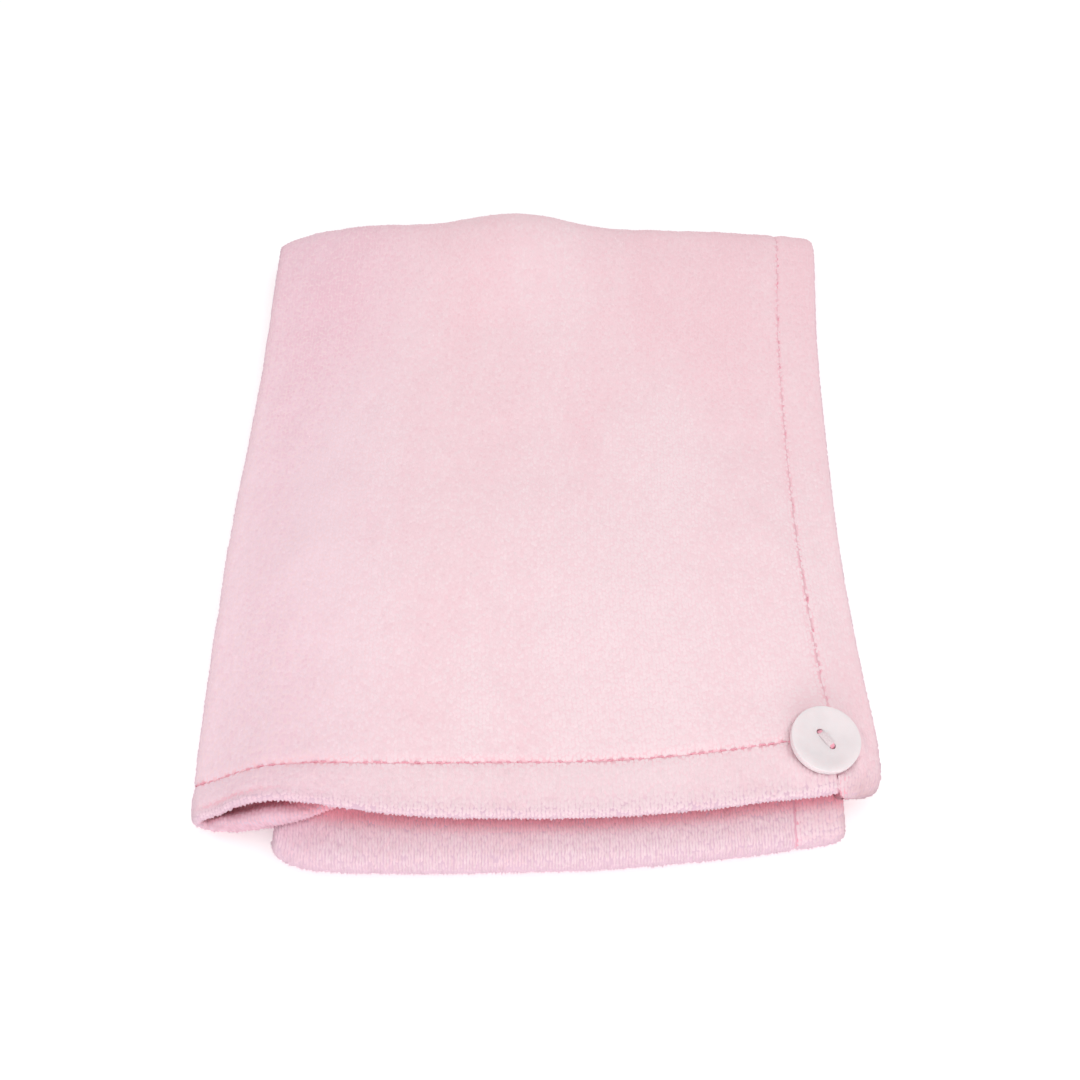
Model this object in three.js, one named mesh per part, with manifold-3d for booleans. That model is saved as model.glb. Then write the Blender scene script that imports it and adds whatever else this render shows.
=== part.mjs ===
// A hair towel of plush knit, folded in three and lying flat.
//
// The towel is one cloth, folded lengthwise: its left side is that fold and its right side is sewn.
// This makes a flat bag, open at the mouth, where the head goes in, and sewn shut at the tail's tip.
// The bag lies in three sections: from the mouth to the far fold, back underneath to the near fold,
// and under again to the tip. The loop on the tip goes over a button on the mouth's right corner.
//
// Millimetres. +X is to the right, +Y away from the mouth, +Z up, and the surface that it lies on is z = 0.
import * as THREE from "three";
import { mergeVertices } from "three/addons/utils/BufferGeometryUtils.js";
import Module from "manifold-3d";

const CLOTH = 2.7; // plush knit, its pile included
const HEM = 4.2; // the cloth turned in once at the mouth and pressed by its stitches
const HEM_WIDTH = 21; // from the mouth's lip to the hem's stitch line
const SEAM_WIDTH = 17.5; // from the side's stitch line to the sewn edge
const PRESSED = 0.3; // hollow left between the two panels where they lie pressed together
const REST = CLOTH + PRESSED / 2; // half the thickness of the bag there
const SEAM_HALF_AT_HEM = 4.8; // half the thickness of the sewn edge where the hem runs into it
const TOUCH = 0.3; // left between pieces that touch
const HEM_FADES = 30; // how far behind the hem its thickness and the bag's puff at the seam fade out
const LIP_WAVE = 60; // how far the wave of the lips reaches along the cloth
const LIP_SHIFT = 90; // how far behind the hem the lower panel's setback fades out
const TURN_IN = 12; // how far from the left fold a raised panel takes to rise

const BUTTON = { radius: 12.7, thick: 3.2, rim: 2.2, dish: 0.5, hole: 1.25, spread: 3.3, turn: -65 };
const BUTTON_AT = { fromRight: 22.4, along: 17.7 };
const BUTTON_LEAN = { near: 5, right: 5 }; // degrees that the button tips out of the cloth's plane
const LOOP = { radius: 1.5, fromLeft: 62, lift: 1.8 };

// The loop's line from one of its ends to the other, across and out from the tip.
const LOOP_ROUTE = [
  [-5, 0], [-5.1, 2.5], [-5.6, 5.5], [-6.8, 9], [-8.4, 12.6], [-9.7, 16.4], [-10, 20.4], [-8.6, 25],
  [-4.9, 29.4], [0, 31], [4.9, 29.4], [8.6, 25], [10, 20.4], [9.7, 16.4], [8.4, 12.6], [6.8, 9],
  [5.6, 5.5], [5.1, 2.5], [5, 0],
];

// The sewn edge's end at the mouth, which is rounded: places before the mouth's line, how much of its
// thickness each has, and how far its outer side is drawn in.
const ROUND_END = [
  { along: -2.5, thick: 0.5, drawnIn: 3.2 },
  { along: -2, thick: 0.76, drawnIn: 1.7 },
  { along: -1, thick: 0.94, drawnIn: 0.5 },
];

// The bag's mid-surface, a row for each place along it from the mouth to the far fold, and so on to the
// tip. y and z are in the middle of its width, and left and right are its edges. gap is the hollow between
// the two panels in the middle, and gapLeft inside the left fold. flat is how much of each half lies flat
// before its edge drops away. On a fold, tip is how far it reaches, high the height that it starts from,
// lean a bulge to the left, and round how far each corner is drawn back.
const FIRST_SECTION = [
  {
    at: "mouth", y: -149, z: 18.2, left: [-125.8, -146, 7.8], right: [124, -134, 13.4],
    gap: 4.4, gapLeft: 6.6, flat: [0.74, 0.84],
  },
  {
    at: "hem stitches", y: -129, z: 18.3, left: [-127, -133.5, 8.2], right: [124.6, -113, 13.6],
    gap: 4.4, gapLeft: 6, flat: [0.74, 0.84],
  },
  {
    at: "behind the hem", y: -98, z: 18, left: [-127.8, -97, 9], right: [123.2, -88, 13],
    gap: 4.2, gapLeft: 4.6, flat: [0.72, 0.82],
  },
  {
    at: "over the tip", y: -40, z: 17.2, left: [-127.2, -40, 11], right: [121.4, -36, 13],
    gap: 4, gapLeft: 3.6, flat: [0.72, 0.8],
  },
  {
    at: "middle", y: 25, z: 13.2, left: [-125.8, 25, 10.6], right: [123, 27, 10.6],
    gap: 4, gapLeft: 3, flat: [0.5, 0.5],
  },
  {
    at: "before the far fold", y: 85, z: 13, left: [-124, 84, 10.8], right: [125.4, 86, 10.8],
    gap: 3.6, gapLeft: 2.4, flat: [0.4, 0.5],
  },
];
const FAR_FOLD = {
  y: 147, tip: 154.5, high: 15.4, gap: 2.4, gapLeft: 1.2, flat: [0.4, 0.6], round: [-9, -3],
  left: { x: -123.8, y: 148.5, tip: 154.5, high: 12.6 },
  right: { x: 130.2, y: 148, tip: 155, high: 12 },
};
const SECOND_SECTION = [
  { at: "under the far fold", y: 130, z: REST, left: [-121.6, 130, REST], right: [128.6, 130, REST] },
  { at: "under the middle", y: 82, z: REST, left: [-118.5, 82, REST], right: [125.6, 82, REST] },
  { at: "on the surface", y: 32, z: REST, left: [-114, 32, REST], right: [121, 32, REST] },
  { at: "over the loop", y: -20, z: 6.4, left: [-109.5, -20, 5], right: [117, -19, 5.6] },
  {
    at: "over the tail", y: -60, z: 9.2, left: [-105, -60, 7.4], right: [114.5, -58, 8.9],
    flat: [0.7, 0.7],
  },
  {
    at: "before the near fold", y: -104, z: 9.2, left: [-101, -102, 8.4], right: [112, -98, 9.1],
    flat: [0.8, 0.7],
  },
];
const NEAR_FOLD = {
  y: -156.4, tip: -160, high: 9.6, gap: 0.4, gapLeft: 0.4, flat: [0.7, 0.7], lean: 3, round: [7, 1.5],
  left: { x: -95.5, y: -155.8, tip: -159.2, high: 9.5 },
  right: { x: 109.6, y: -146, tip: -149.4, high: 9.4 },
};
const THIRD_SECTION = [
  { at: "tail", y: -120, z: REST, left: [-93, -120, REST], right: [105, -116, REST] },
  { at: "tail narrows", y: -92, z: REST, left: [-86, -92, REST], right: [91, -91, REST] },
  { at: "tip stitches", y: -70, z: REST, left: [-77, -70, REST], right: [76, -70, REST] },
  { at: "tip", y: -52, z: REST, left: [-69, -52, REST], right: [66, -52, REST] },
];

// The two lips of the mouth, at places across it: how far each lies behind the mouth's line, and how far
// the upper one is raised and the lower one sinks. At the left they part, and further in the upper one
// overhangs the lower one.
const LIPS = [
  { x: -125, upper: 0, lower: 0, raise: 0, sink: 0 },
  { x: -114, upper: 2.5, lower: -2.5, raise: 0.9, sink: 0.8 },
  { x: -102, upper: 4.4, lower: -3, raise: 3.2, sink: 0.9 },
  { x: -93, upper: 4.3, lower: -2, raise: 4.4, sink: 0 },
  { x: -84, upper: 3.5, lower: 1, raise: 5, sink: 0 },
  { x: -70, upper: 2, lower: 8, raise: 3.4, sink: 0 },
  { x: -45, upper: 0.5, lower: 11, raise: 0.5, sink: 0 },
  { x: 0, upper: 0, lower: 11, raise: 0, sink: 0 },
  { x: 60, upper: 0, lower: 11, raise: 0, sink: 0 },
  { x: 104, upper: 0, lower: 3, raise: 0, sink: 0 },
  { x: 125, upper: 0, lower: 0, raise: 0, sink: 0 },
];

// Places where the upper panel stands off the lower one: x across, along from the mouth, and how far each
// swell spreads sideways, towards the mouth and onwards.
const SWELLS = [
  { at: "far fold", x: -12, along: 302, wide: 34, back: 44, on: 6, height: 8 },
  { at: "far fold's left", x: -76, along: 300, wide: 26, back: 44, on: 6, height: 3.6 },
  { at: "left of the middle", x: -40, along: 150, wide: 45, back: 70, on: 70, height: 1.2 },
];

// How finely the cloth is divided: steps along the flat sections and the folds, across a panel, and round
// the left fold.
const FLAT_STEP = 17;
const FOLD_STEP = 3.6;
const PANEL_STEPS = 14;
const LEFT_STEPS = 6;

const smooth = (from, to, value) => {
  const share = THREE.MathUtils.clamp((value - from) / (to - from), 0, 1);
  return share * share * (3 - 2 * share);
};

// The rows of a fold: half a turn, which carries the bag's mid-surface down from one section to the next.
function turn(fold) {
  return [0, 1, 2, 3, 4].map((eighth) => {
    const angle = (Math.PI / 4) * eighth;
    const on = ({ y, tip, high }) => [
      y + (tip - y) * Math.sin(angle),
      (high + REST) / 2 + ((high - REST) / 2) * Math.cos(angle),
    ];
    const [y, z] = on(fold);
    const [left, right] = [fold.left, fold.right].map((edge) => [edge.x, ...on(edge)]);
    const gap = THREE.MathUtils.lerp(fold.gap, PRESSED, eighth / 4);
    const gapLeft = THREE.MathUtils.lerp(fold.gapLeft, PRESSED, eighth / 4);
    return { ...fold, at: "fold", y, z, left, right, gap, gapLeft };
  });
}

const ROWS = [
  ...FIRST_SECTION, ...turn(FAR_FOLD), ...SECOND_SECTION, ...turn(NEAR_FOLD), ...THIRD_SECTION,
];

// Smooth curves through the rows: the bag's middle, its two edges, and its gaps and shoulder.
const rail = (pick) => {
  const points = ROWS.map((row) => new THREE.Vector3(...pick(row)));
  const curve = new THREE.CatmullRomCurve3(points, false, "centripetal");
  curve.arcLengthDivisions = 1200;
  return curve;
};
const MIDDLE = rail((row) => [0, row.y, row.z]);
const LEFT = rail((row) => row.left);
const RIGHT = rail((row) => row.right);
const SLACK = ROWS.map((row) => {
  const { gap = PRESSED, gapLeft = PRESSED, flat = [0.5, 0.5], lean = 0, round = [0, 0] } = row;
  return [gap, gapLeft, ...flat, lean, ...round];
});
const LENGTH = MIDDLE.getLength();

// Where a row lies along the bag, in millimetres from the mouth.
const alongOfRow = (index) => {
  const lengths = MIDDLE.getLengths();
  return lengths[Math.round((index / (ROWS.length - 1)) * (lengths.length - 1))];
};
const TIP_STITCHES = LENGTH - SEAM_WIDTH;

// The rails' points and the gaps at a place along the bag.
const known = new Map();
function station(along) {
  const key = along.toFixed(4);
  if (!known.has(key)) {
    const at = MIDDLE.getUtoTmapping(0, THREE.MathUtils.clamp(along, 0, LENGTH));
    const row = Math.min(at * (ROWS.length - 1), ROWS.length - 1.0001);
    const before = SLACK[Math.floor(row)];
    const after = SLACK[Math.floor(row) + 1];
    const slack = before.map((value, i) => THREE.MathUtils.lerp(value, after[i], row % 1));
    const [gap, gapLeft, flatLeft, flatRight, lean, roundLeft, roundRight] = slack;
    const [middle, left, right] = [MIDDLE, LEFT, RIGHT].map((curve) => curve.getPoint(at));
    const edges = [
      { edge: left, flat: flatLeft, round: roundLeft },
      { edge: right, flat: flatRight, round: roundRight },
    ];
    known.set(key, { middle, left, right, gap, gapLeft, lean, edges });
  }
  return known.get(key);
}
const widthAt = (along) => station(along).right.x - station(along).left.x;

// A point of the bag's mid-surface, across from its left edge and along from its mouth.
function midSurface(across, along) {
  if (along < 0) {
    const mouth = midSurface(across, 0);
    return mouth.multiplyScalar(1 - along).addScaledVector(midSurface(across, 1), along);
  }
  const { middle, left, right, lean, edges } = station(along);
  const share = (2 * across) / (right.x - left.x) - 1;
  const { edge, flat, round } = edges[share < 0 ? 0 : 1];
  const sweep = share * share;
  return new THREE.Vector3(
    THREE.MathUtils.lerp(left.x, right.x, (share + 1) / 2),
    THREE.MathUtils.lerp(middle.y, edge.y, sweep) + lean * share * (1 - sweep) + round * sweep ** 8,
    Math.max(THREE.MathUtils.lerp(middle.z, edge.z, smooth(flat, 1, Math.abs(share))), REST),
  );
}

// The same, off the mid-surface by a distance: up in the first section, down in the second, up in the
// third.
function place(across, along, off) {
  const step = 0.5;
  const from = along - step;
  const to = Math.min(along + step, LENGTH);
  const sideways = midSurface(across + step, along).sub(midSurface(across - step, along));
  const onward = midSurface(across, to).sub(midSurface(across, from));
  const normal = sideways.cross(onward).normalize();
  return midSurface(across, along).addScaledVector(normal, off);
}

// Half the hollow between the panels: wide in the left fold, puffed in the middle, closed at the side's
// stitches.
function halfGap(across, along) {
  const { gap, gapLeft } = station(along);
  const stitches = widthAt(along) - SEAM_WIDTH;
  const share = across / stitches;
  const atSeam = THREE.MathUtils.lerp(gap, PRESSED, smooth(HEM_WIDTH, HEM_WIDTH + HEM_FADES, along));
  const open = THREE.MathUtils.lerp(gapLeft, gap, smooth(0.02, 0.14, share));
  return THREE.MathUtils.lerp(open, atSeam, smooth(0.75, 1, share)) / 2;
}

// The shape of the lips at a place across the mouth.
const lips = new THREE.CubicInterpolant(
  LIPS.map((lip) => lip.x),
  LIPS.flatMap((lip) => [lip.upper, lip.lower, lip.raise, lip.sink]),
  4,
);
const lipsAt = (x) => lips.evaluate(THREE.MathUtils.clamp(x, LIPS[0].x, LIPS.at(-1).x));

// How far the lower panel sinks, and how far the upper one is raised: by the wave of its lip, and by the
// swells.
function sink(across, along) {
  const lowered = lipsAt(midSurface(across, along).x)[3];
  return lowered * (1 - smooth(0, LIP_WAVE, along));
}
function lift(across, along) {
  const x = midSurface(across, along).x;
  const raised = SWELLS.map((swell) => {
    const onward = (along - swell.along) / (along < swell.along ? swell.back : swell.on);
    return swell.height * Math.exp(-(((x - swell.x) / swell.wide) ** 2) - onward ** 2);
  });
  const raise = lipsAt(x)[2];
  return raised.reduce((sum, value) => sum + value, raise * (1 - smooth(0, LIP_WAVE, along)));
}

// How far behind the mouth's line a panel's lip lies, and what is left of that further along.
function setback(across, along, upper) {
  const x = midSurface(across, 0).x;
  const [above, below] = lipsAt(x);
  const near = 1 - smooth(0, HEM_WIDTH, along);
  const far = 1 - smooth(HEM_WIDTH, HEM_WIDTH + LIP_SHIFT, along);
  return THREE.MathUtils.lerp(below * far, above * near, upper);
}

// The outer face of the cloth round the bag at a place along it, from the stitch line on the upper panel,
// round the left fold, to the stitch line on the lower one. Each entry says where it is, which way is out
// of the bag, and how much it belongs to the upper panel.
function ring(along, end) {
  const { gapLeft } = station(along);
  const radius = CLOTH + gapLeft / 2;
  const panel = (share, upper) => {
    const across = THREE.MathUtils.lerp(widthAt(along) - end, radius, share);
    const apart = (upper ? lift : sink)(across, along) * smooth(radius, radius + TURN_IN, across);
    const off = CLOTH + halfGap(across, along) + apart;
    return { across, off: upper ? off : -off, outAcross: 0, outOff: upper ? 1 : -1, upper: upper ? 1 : 0 };
  };
  const shares = Array.from({ length: PANEL_STEPS }, (_, i) => {
    const share = i / PANEL_STEPS;
    return (share + smooth(0, 1, share)) / 2;
  });
  const bend = Array.from({ length: LEFT_STEPS + 1 }, (_, i) => {
    const angle = (Math.PI * i) / LEFT_STEPS;
    const out = [-Math.sin(angle), Math.cos(angle)];
    const [across, off] = [radius + radius * out[0], radius * out[1]];
    return { across, off, outAcross: out[0], outOff: out[1], upper: 1 - i / LEFT_STEPS };
  });
  return [
    ...shares.map((share) => panel(share, true)),
    ...bend,
    ...shares.reverse().map((share) => panel(share, false)),
  ];
}

// A closed slab from two grids of points of one size, an outer face and an inner one.
function slab(outer, inner) {
  const rows = outer.length;
  const columns = outer[0].length;
  const points = [...outer.flat(), ...inner.flat()];
  const at = (face, row, column) => face * rows * columns + row * columns + column;
  const faces = [];
  const quad = (a, b, c, d) => faces.push(a, b, c, a, c, d);
  for (let r = 0; r + 1 < rows; r++)
    for (let c = 0; c + 1 < columns; c++) {
      quad(at(0, r, c), at(0, r, c + 1), at(0, r + 1, c + 1), at(0, r + 1, c));
      quad(at(1, r, c), at(1, r + 1, c), at(1, r + 1, c + 1), at(1, r, c + 1));
    }
  for (let c = 0; c + 1 < columns; c++) {
    quad(at(0, 0, c), at(1, 0, c), at(1, 0, c + 1), at(0, 0, c + 1));
    quad(at(0, rows - 1, c), at(0, rows - 1, c + 1), at(1, rows - 1, c + 1), at(1, rows - 1, c));
  }
  for (let r = 0; r + 1 < rows; r++) {
    quad(at(0, r, 0), at(0, r + 1, 0), at(1, r + 1, 0), at(1, r, 0));
    const end = columns - 1;
    quad(at(0, r, end), at(1, r, end), at(1, r + 1, end), at(0, r + 1, end));
  }
  return solidFrom(points, faces);
}

// A closed tube from rings of points, each with as many, closed by a flat cap at each end.
function tube(rings) {
  const sides = rings[0].length;
  const points = rings.flat();
  const faces = [];
  for (let r = 0; r + 1 < rings.length; r++)
    for (let i = 0; i < sides; i++) {
      const [a, b] = [r * sides + i, r * sides + ((i + 1) % sides)];
      faces.push(a, b, b + sides, a, b + sides, a + sides);
    }
  const last = (rings.length - 1) * sides;
  for (let i = 1; i + 1 < sides; i++) {
    faces.push(0, i + 1, i);
    faces.push(last, last + i, last + i + 1);
  }
  return solidFrom(points, faces);
}

function solidFrom(points, faces) {
  const geometry = new THREE.BufferGeometry().setFromPoints(points);
  geometry.setIndex(faces);
  const [a, b, c] = [new THREE.Vector3(), new THREE.Vector3(), new THREE.Vector3()];
  let volume = 0;
  for (let i = 0; i < faces.length; i += 3) {
    [a, b, c].forEach((corner, k) => corner.copy(points[faces[i + k]]));
    volume += a.dot(b.cross(c));
  }
  if (volume < 0) geometry.setIndex(faces.map((_, i) => faces[i - (i % 3) + (2 - (i % 3))]));
  geometry.computeVertexNormals();
  return geometry;
}

// Places along the bag from one to another, close together in the folds.
function steps(from, to) {
  const marks = ROWS.map((row, i) => ({ along: alongOfRow(i), fold: row.at === "fold" }));
  const inside = marks.filter(({ along }) => along > from + 2 && along < to - 2);
  const stops = [{ along: from, fold: false }, ...inside, { along: to, fold: false }];
  const found = [from];
  for (let i = 1; i < stops.length; i++) {
    const length = stops[i].along - stops[i - 1].along;
    const step = stops[i].fold && stops[i - 1].fold ? FOLD_STEP : FLAT_STEP;
    const count = Math.max(1, Math.round(length / step));
    for (let k = 1; k <= count; k++) found.push(stops[i - 1].along + (length * k) / count);
  }
  return found;
}

// The cloth behind the hem and inside the side's stitches, as one wall folded along its left.
function towelBody() {
  const start = HEM_WIDTH + TOUCH;
  const rows = steps(start, TIP_STITCHES - TOUCH);
  const wall = (depth) =>
    rows.map((row) =>
      ring(row, SEAM_WIDTH + TOUCH).map(({ across, upper }, i) => {
        const along = row + setback(across, row, upper);
        const face = ring(along, SEAM_WIDTH + TOUCH)[i];
        return place(face.across - face.outAcross * depth, along, face.off - face.outOff * depth);
      }),
    );
  return slab(wall(0), wall(CLOTH));
}

// The hem round the mouth: the cloth turned in, with a round lip.
function mouthHem() {
  const profile = [
    { along: 0, in: 1.5 },
    { along: 0.9, in: 0.45 },
    { along: 2.8, in: 0 },
    { along: 12, in: 0 },
    { along: HEM_WIDTH, in: 0 },
  ];
  const wall = (inner) =>
    profile.map((row) =>
      ring(row.along, SEAM_WIDTH + TOUCH).map(({ across, upper }, i) => {
        const along = row.along + setback(across, row.along, upper);
        const face = ring(along, SEAM_WIDTH + TOUCH)[i];
        const depth = inner ? HEM - row.in : row.in;
        return place(face.across - face.outAcross * depth, along, face.off - face.outOff * depth);
      }),
    );
  return slab(wall(false), wall(true));
}

// The sewn edge: down the right side from the mouth, round a corner, and across the tip.
function sideSeam() {
  const inner = SEAM_WIDTH - TOUCH;
  const corner = 0.6;
  const turnAt = TIP_STITCHES + TOUCH - corner;
  const straight = steps(0, turnAt).map((along) => ({ along, thick: 1, drawnIn: 0 }));
  const down = [...ROUND_END, ...straight].map(({ along, thick, drawnIn }) => {
    const width = widthAt(along);
    return { from: [width - inner, along], to: [width - drawnIn, along], thick };
  });
  const round = [18, 36, 54, 72, 90].map(THREE.MathUtils.degToRad).map((angle) => {
    const [from, to] = [corner, corner + inner].map((radius) => {
      const along = turnAt + radius * Math.sin(angle);
      return [widthAt(along) - corner - inner + radius * Math.cos(angle), along];
    });
    return { from, to, thick: 1 };
  });
  const tip = Array.from({ length: 7 }, (_, i) => {
    const [from, to] = [TIP_STITCHES + TOUCH, LENGTH].map((along) => [
      THREE.MathUtils.lerp(widthAt(along) - corner - inner, 2, (i + 1) / 7),
      along,
    ]);
    return { from, to, thick: 1 };
  });
  // The section of the edge: flat faces, and a round outside.
  const rise = [
    [0, 1], [0.45, 1], [0.84, 1], [0.95, 0.72], [1, 0],
    [0.95, -0.72], [0.84, -1], [0.45, -1], [0, -1],
  ];
  const rings = [...down, ...round, ...tip].map(({ from, to, thick }) =>
    rise.map(([share, up]) => {
      const [at, along] = [0, 1].map((i) => THREE.MathUtils.lerp(from[i], to[i], share));
      const half = THREE.MathUtils.lerp(SEAM_HALF_AT_HEM, REST, smooth(4, HEM_WIDTH + HEM_FADES, along));
      const edge = 1 - 0.4 * smooth(0, 1, share);
      return place(at, along, up * thick * Math.max(half * edge, REST));
    }),
  );
  return tube(rings);
}

// Turns a flat piece so that its +Z points out of the cloth at a place, and its +X along the mouth.
function onCloth(across, along) {
  const up = place(across, along, 1).sub(place(across, along, 0)).normalize();
  const right = midSurface(across + 1, along).sub(midSurface(across - 1, along)).normalize();
  const away = up.clone().cross(right);
  return new THREE.Matrix4().makeBasis(right, away, up).setPosition(place(across, along, 0));
}

// How high the cloth's outer face rises along a seat's +Z, within a circle round the seat's place.
function highest(seat, across, along, radius) {
  const frame = seat.clone().invert();
  let top = 0;
  for (const distance of [0, 0.35, 0.7, 1])
    for (let angle = 0; angle < 360; angle += 20) {
      const x = across + distance * radius * Math.cos(THREE.MathUtils.degToRad(angle));
      const y = along + distance * radius * Math.sin(THREE.MathUtils.degToRad(angle));
      const inSeam = x > widthAt(y) - SEAM_WIDTH;
      const half = inSeam ? SEAM_HALF_AT_HEM : CLOTH + halfGap(x, y) + lift(x, y);
      top = Math.max(top, place(x, y, half).applyMatrix4(frame).z);
    }
  return top;
}

const wasm = await Module();
wasm.setup();

function toSolid(geometry) {
  const bare = geometry.clone();
  bare.deleteAttribute("normal");
  bare.deleteAttribute("uv");
  const merged = mergeVertices(bare, 1e-4);
  return new wasm.Manifold(
    new wasm.Mesh({
      numProp: 3,
      vertProperties: merged.attributes.position.array,
      triVerts: new Uint32Array(merged.index.array),
    }),
  );
}

function fromSolid(solid) {
  const { vertProperties, triVerts } = solid.getMesh();
  const geometry = new THREE.BufferGeometry();
  geometry.setAttribute("position", new THREE.BufferAttribute(vertProperties, 3));
  geometry.setIndex(new THREE.BufferAttribute(triVerts, 1));
  geometry.computeVertexNormals();
  return geometry;
}

// The button: a round disc with a soft rim, a shallow dish and two holes, lying on its back at z = 0.
function buttonShape() {
  const { radius, thick, rim, dish, hole, spread } = BUTTON;
  const profile = [
    [0, 0],
    [radius - 1.6, 0],
    [radius - 0.4, 0.8],
    [radius, thick * 0.55],
    [radius - 0.35, thick - 0.45],
    [radius - 1.1, thick],
    [radius - rim, thick - 0.05],
    [radius - rim - 1.6, thick - dish],
    [0, thick - dish],
  ].map(([x, y]) => new THREE.Vector2(x, y));
  const disc = new THREE.LatheGeometry(profile, 48).rotateX(Math.PI / 2);
  let solid = toSolid(disc);
  for (const side of [-1, 1]) {
    const drill = new THREE.CylinderGeometry(hole, hole, 3 * thick, 16).rotateX(Math.PI / 2);
    solid = solid.subtract(toSolid(drill.translate(side * spread, 0, 0)));
  }
  return fromSolid(solid);
}

// The loop on the tip: elastic cord in a flat teardrop, both ends sewn in.
function loopShape() {
  const root = place(LOOP.fromLeft, LENGTH, 0);
  const out = root.y + TOUCH;
  const points = LOOP_ROUTE.map(([x, y]) => new THREE.Vector3(root.x + x, out + y, LOOP.lift));
  const path = new THREE.CatmullRomCurve3(points, false, "centripetal");
  const outline = new THREE.Shape();
  outline.absarc(0, 0, LOOP.radius, 0, 2 * Math.PI, false);
  const steps = Math.round(path.getLength() / (4 * LOOP.radius));
  return new THREE.ExtrudeGeometry(outline, { extrudePath: path, steps, curveSegments: 4 });
}

const pinkCloth = new THREE.MeshStandardMaterial({ color: "#f4d3da", roughness: 0.95, metalness: 0 });
const hemCloth = new THREE.MeshStandardMaterial({ color: "#f5d6dc", roughness: 0.95, metalness: 0 });
const whitePlastic = new THREE.MeshStandardMaterial({ color: "#efebed", roughness: 0.28, metalness: 0 });
const pinkElastic = new THREE.MeshStandardMaterial({ color: "#efc3cd", roughness: 0.85, metalness: 0 });

const towel = new THREE.Group();

function add(name, geometry, material, parent = towel) {
  const mesh = new THREE.Mesh(geometry, material);
  mesh.name = name;
  parent.add(mesh);
}

add("towel_body", towelBody(), pinkCloth);
add("mouth_hem", mouthHem(), hemCloth);
add("side_seam", sideSeam(), hemCloth);
add("fastening_loop", loopShape(), pinkElastic);

const buttonPlace = new THREE.Group();
const buttonAcross = widthAt(BUTTON_AT.along) - BUTTON_AT.fromRight;
const buttonSeat = onCloth(buttonAcross, BUTTON_AT.along);
const nearLean = THREE.MathUtils.degToRad(BUTTON_LEAN.near);
const rightLean = THREE.MathUtils.degToRad(BUTTON_LEAN.right);
buttonSeat.multiply(new THREE.Matrix4().makeRotationFromEuler(new THREE.Euler(nearLean, rightLean, 0)));
const buttonHeight = highest(buttonSeat, buttonAcross, BUTTON_AT.along, BUTTON.radius) + TOUCH;
buttonPlace.applyMatrix4(buttonSeat);
buttonPlace.translateZ(buttonHeight);
buttonPlace.rotateZ(THREE.MathUtils.degToRad(BUTTON.turn));
add("button", buttonShape(), whitePlastic, buttonPlace);
towel.add(buttonPlace);

export default towel;
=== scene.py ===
# A hair towel of pale pink plush knit, folded in three and lying flat, with a button at its mouth.
import math

import bpy
import numpy as np
from mathutils import Matrix, Vector


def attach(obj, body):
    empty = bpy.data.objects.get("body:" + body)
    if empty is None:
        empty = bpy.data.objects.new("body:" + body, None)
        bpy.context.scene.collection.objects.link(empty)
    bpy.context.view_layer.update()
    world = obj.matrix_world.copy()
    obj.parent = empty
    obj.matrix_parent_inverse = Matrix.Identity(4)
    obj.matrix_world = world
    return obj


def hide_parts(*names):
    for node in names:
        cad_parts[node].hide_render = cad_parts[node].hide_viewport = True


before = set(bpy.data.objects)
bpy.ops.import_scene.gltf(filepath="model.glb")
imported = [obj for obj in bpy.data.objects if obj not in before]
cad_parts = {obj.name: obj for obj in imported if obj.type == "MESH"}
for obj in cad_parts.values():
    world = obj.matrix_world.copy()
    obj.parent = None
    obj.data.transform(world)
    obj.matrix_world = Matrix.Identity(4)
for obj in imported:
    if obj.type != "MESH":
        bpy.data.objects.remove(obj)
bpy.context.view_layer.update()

MM = 0.001  # the cloth is worked out in millimetres and made in metres

# The cloth and how it is sewn
CLOTH = 2.7  # how thick the plush is
HEM = 4.2  # how thick the hem is, two layers pressed together
HEM_WIDTH = 21
SEAM_WIDTH = 17.5
PRESSED = 0.3  # between two panels pressed together
REST = CLOTH + PRESSED / 2  # how high the mid-surface is where the bag lies on the floor
SEAM_HALF_AT_HEM = 4.8  # half of how thick the sewn edge is beside the hem
TOUCH = 0.3  # between pieces that lie against each other
HEM_FADES = 30  # how far behind the hem the sewn edge thins and the panels close up
LIP_WAVE = 60  # how far along the bag the lips' rise and fall reaches
LIP_SHIFT = 90  # and how far the lower lip's setback reaches behind the hem
TURN_IN = 12  # how far from the left fold the panels have their full lift
NAP = 0.5  # how far the ground of the cloth lies below the tops of its pile
WALE = 1.35  # from one rib of the knit to the next
COURSE = 1.55  # from one loop to the next along a rib


# The bag's mid-surface, a row for each place from the mouth to the far fold, and so on to the tip. middle
# is y and z in the middle of its width, left and right are its edges, gap and gap_left are the hollow
# between the two panels in the middle and inside the left fold, and flat is how much of each half is flat.
FIRST_SECTION = [
    dict(middle=(-149, 18.2), left=(-125.8, -146, 7.8), right=(124, -134, 13.4), gap=4.4, gap_left=6.6,
         flat=(0.74, 0.84)),
    dict(middle=(-129, 18.3), left=(-127, -133.5, 8.2), right=(124.6, -113, 13.6), gap=4.4, gap_left=6,
         flat=(0.74, 0.84)),
    dict(middle=(-98, 18), left=(-127.8, -97, 9), right=(123.2, -88, 13), gap=4.2, gap_left=4.6,
         flat=(0.72, 0.82)),
    dict(middle=(-40, 17.2), left=(-127.2, -40, 11), right=(121.4, -36, 13), gap=4, gap_left=3.6,
         flat=(0.72, 0.8)),
    dict(middle=(25, 13.2), left=(-125.8, 25, 10.6), right=(123, 27, 10.6), gap=4, gap_left=3),
    dict(middle=(85, 13), left=(-124, 84, 10.8), right=(125.4, 86, 10.8), gap=3.6, gap_left=2.4,
         flat=(0.4, 0.5)),
]
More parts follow.
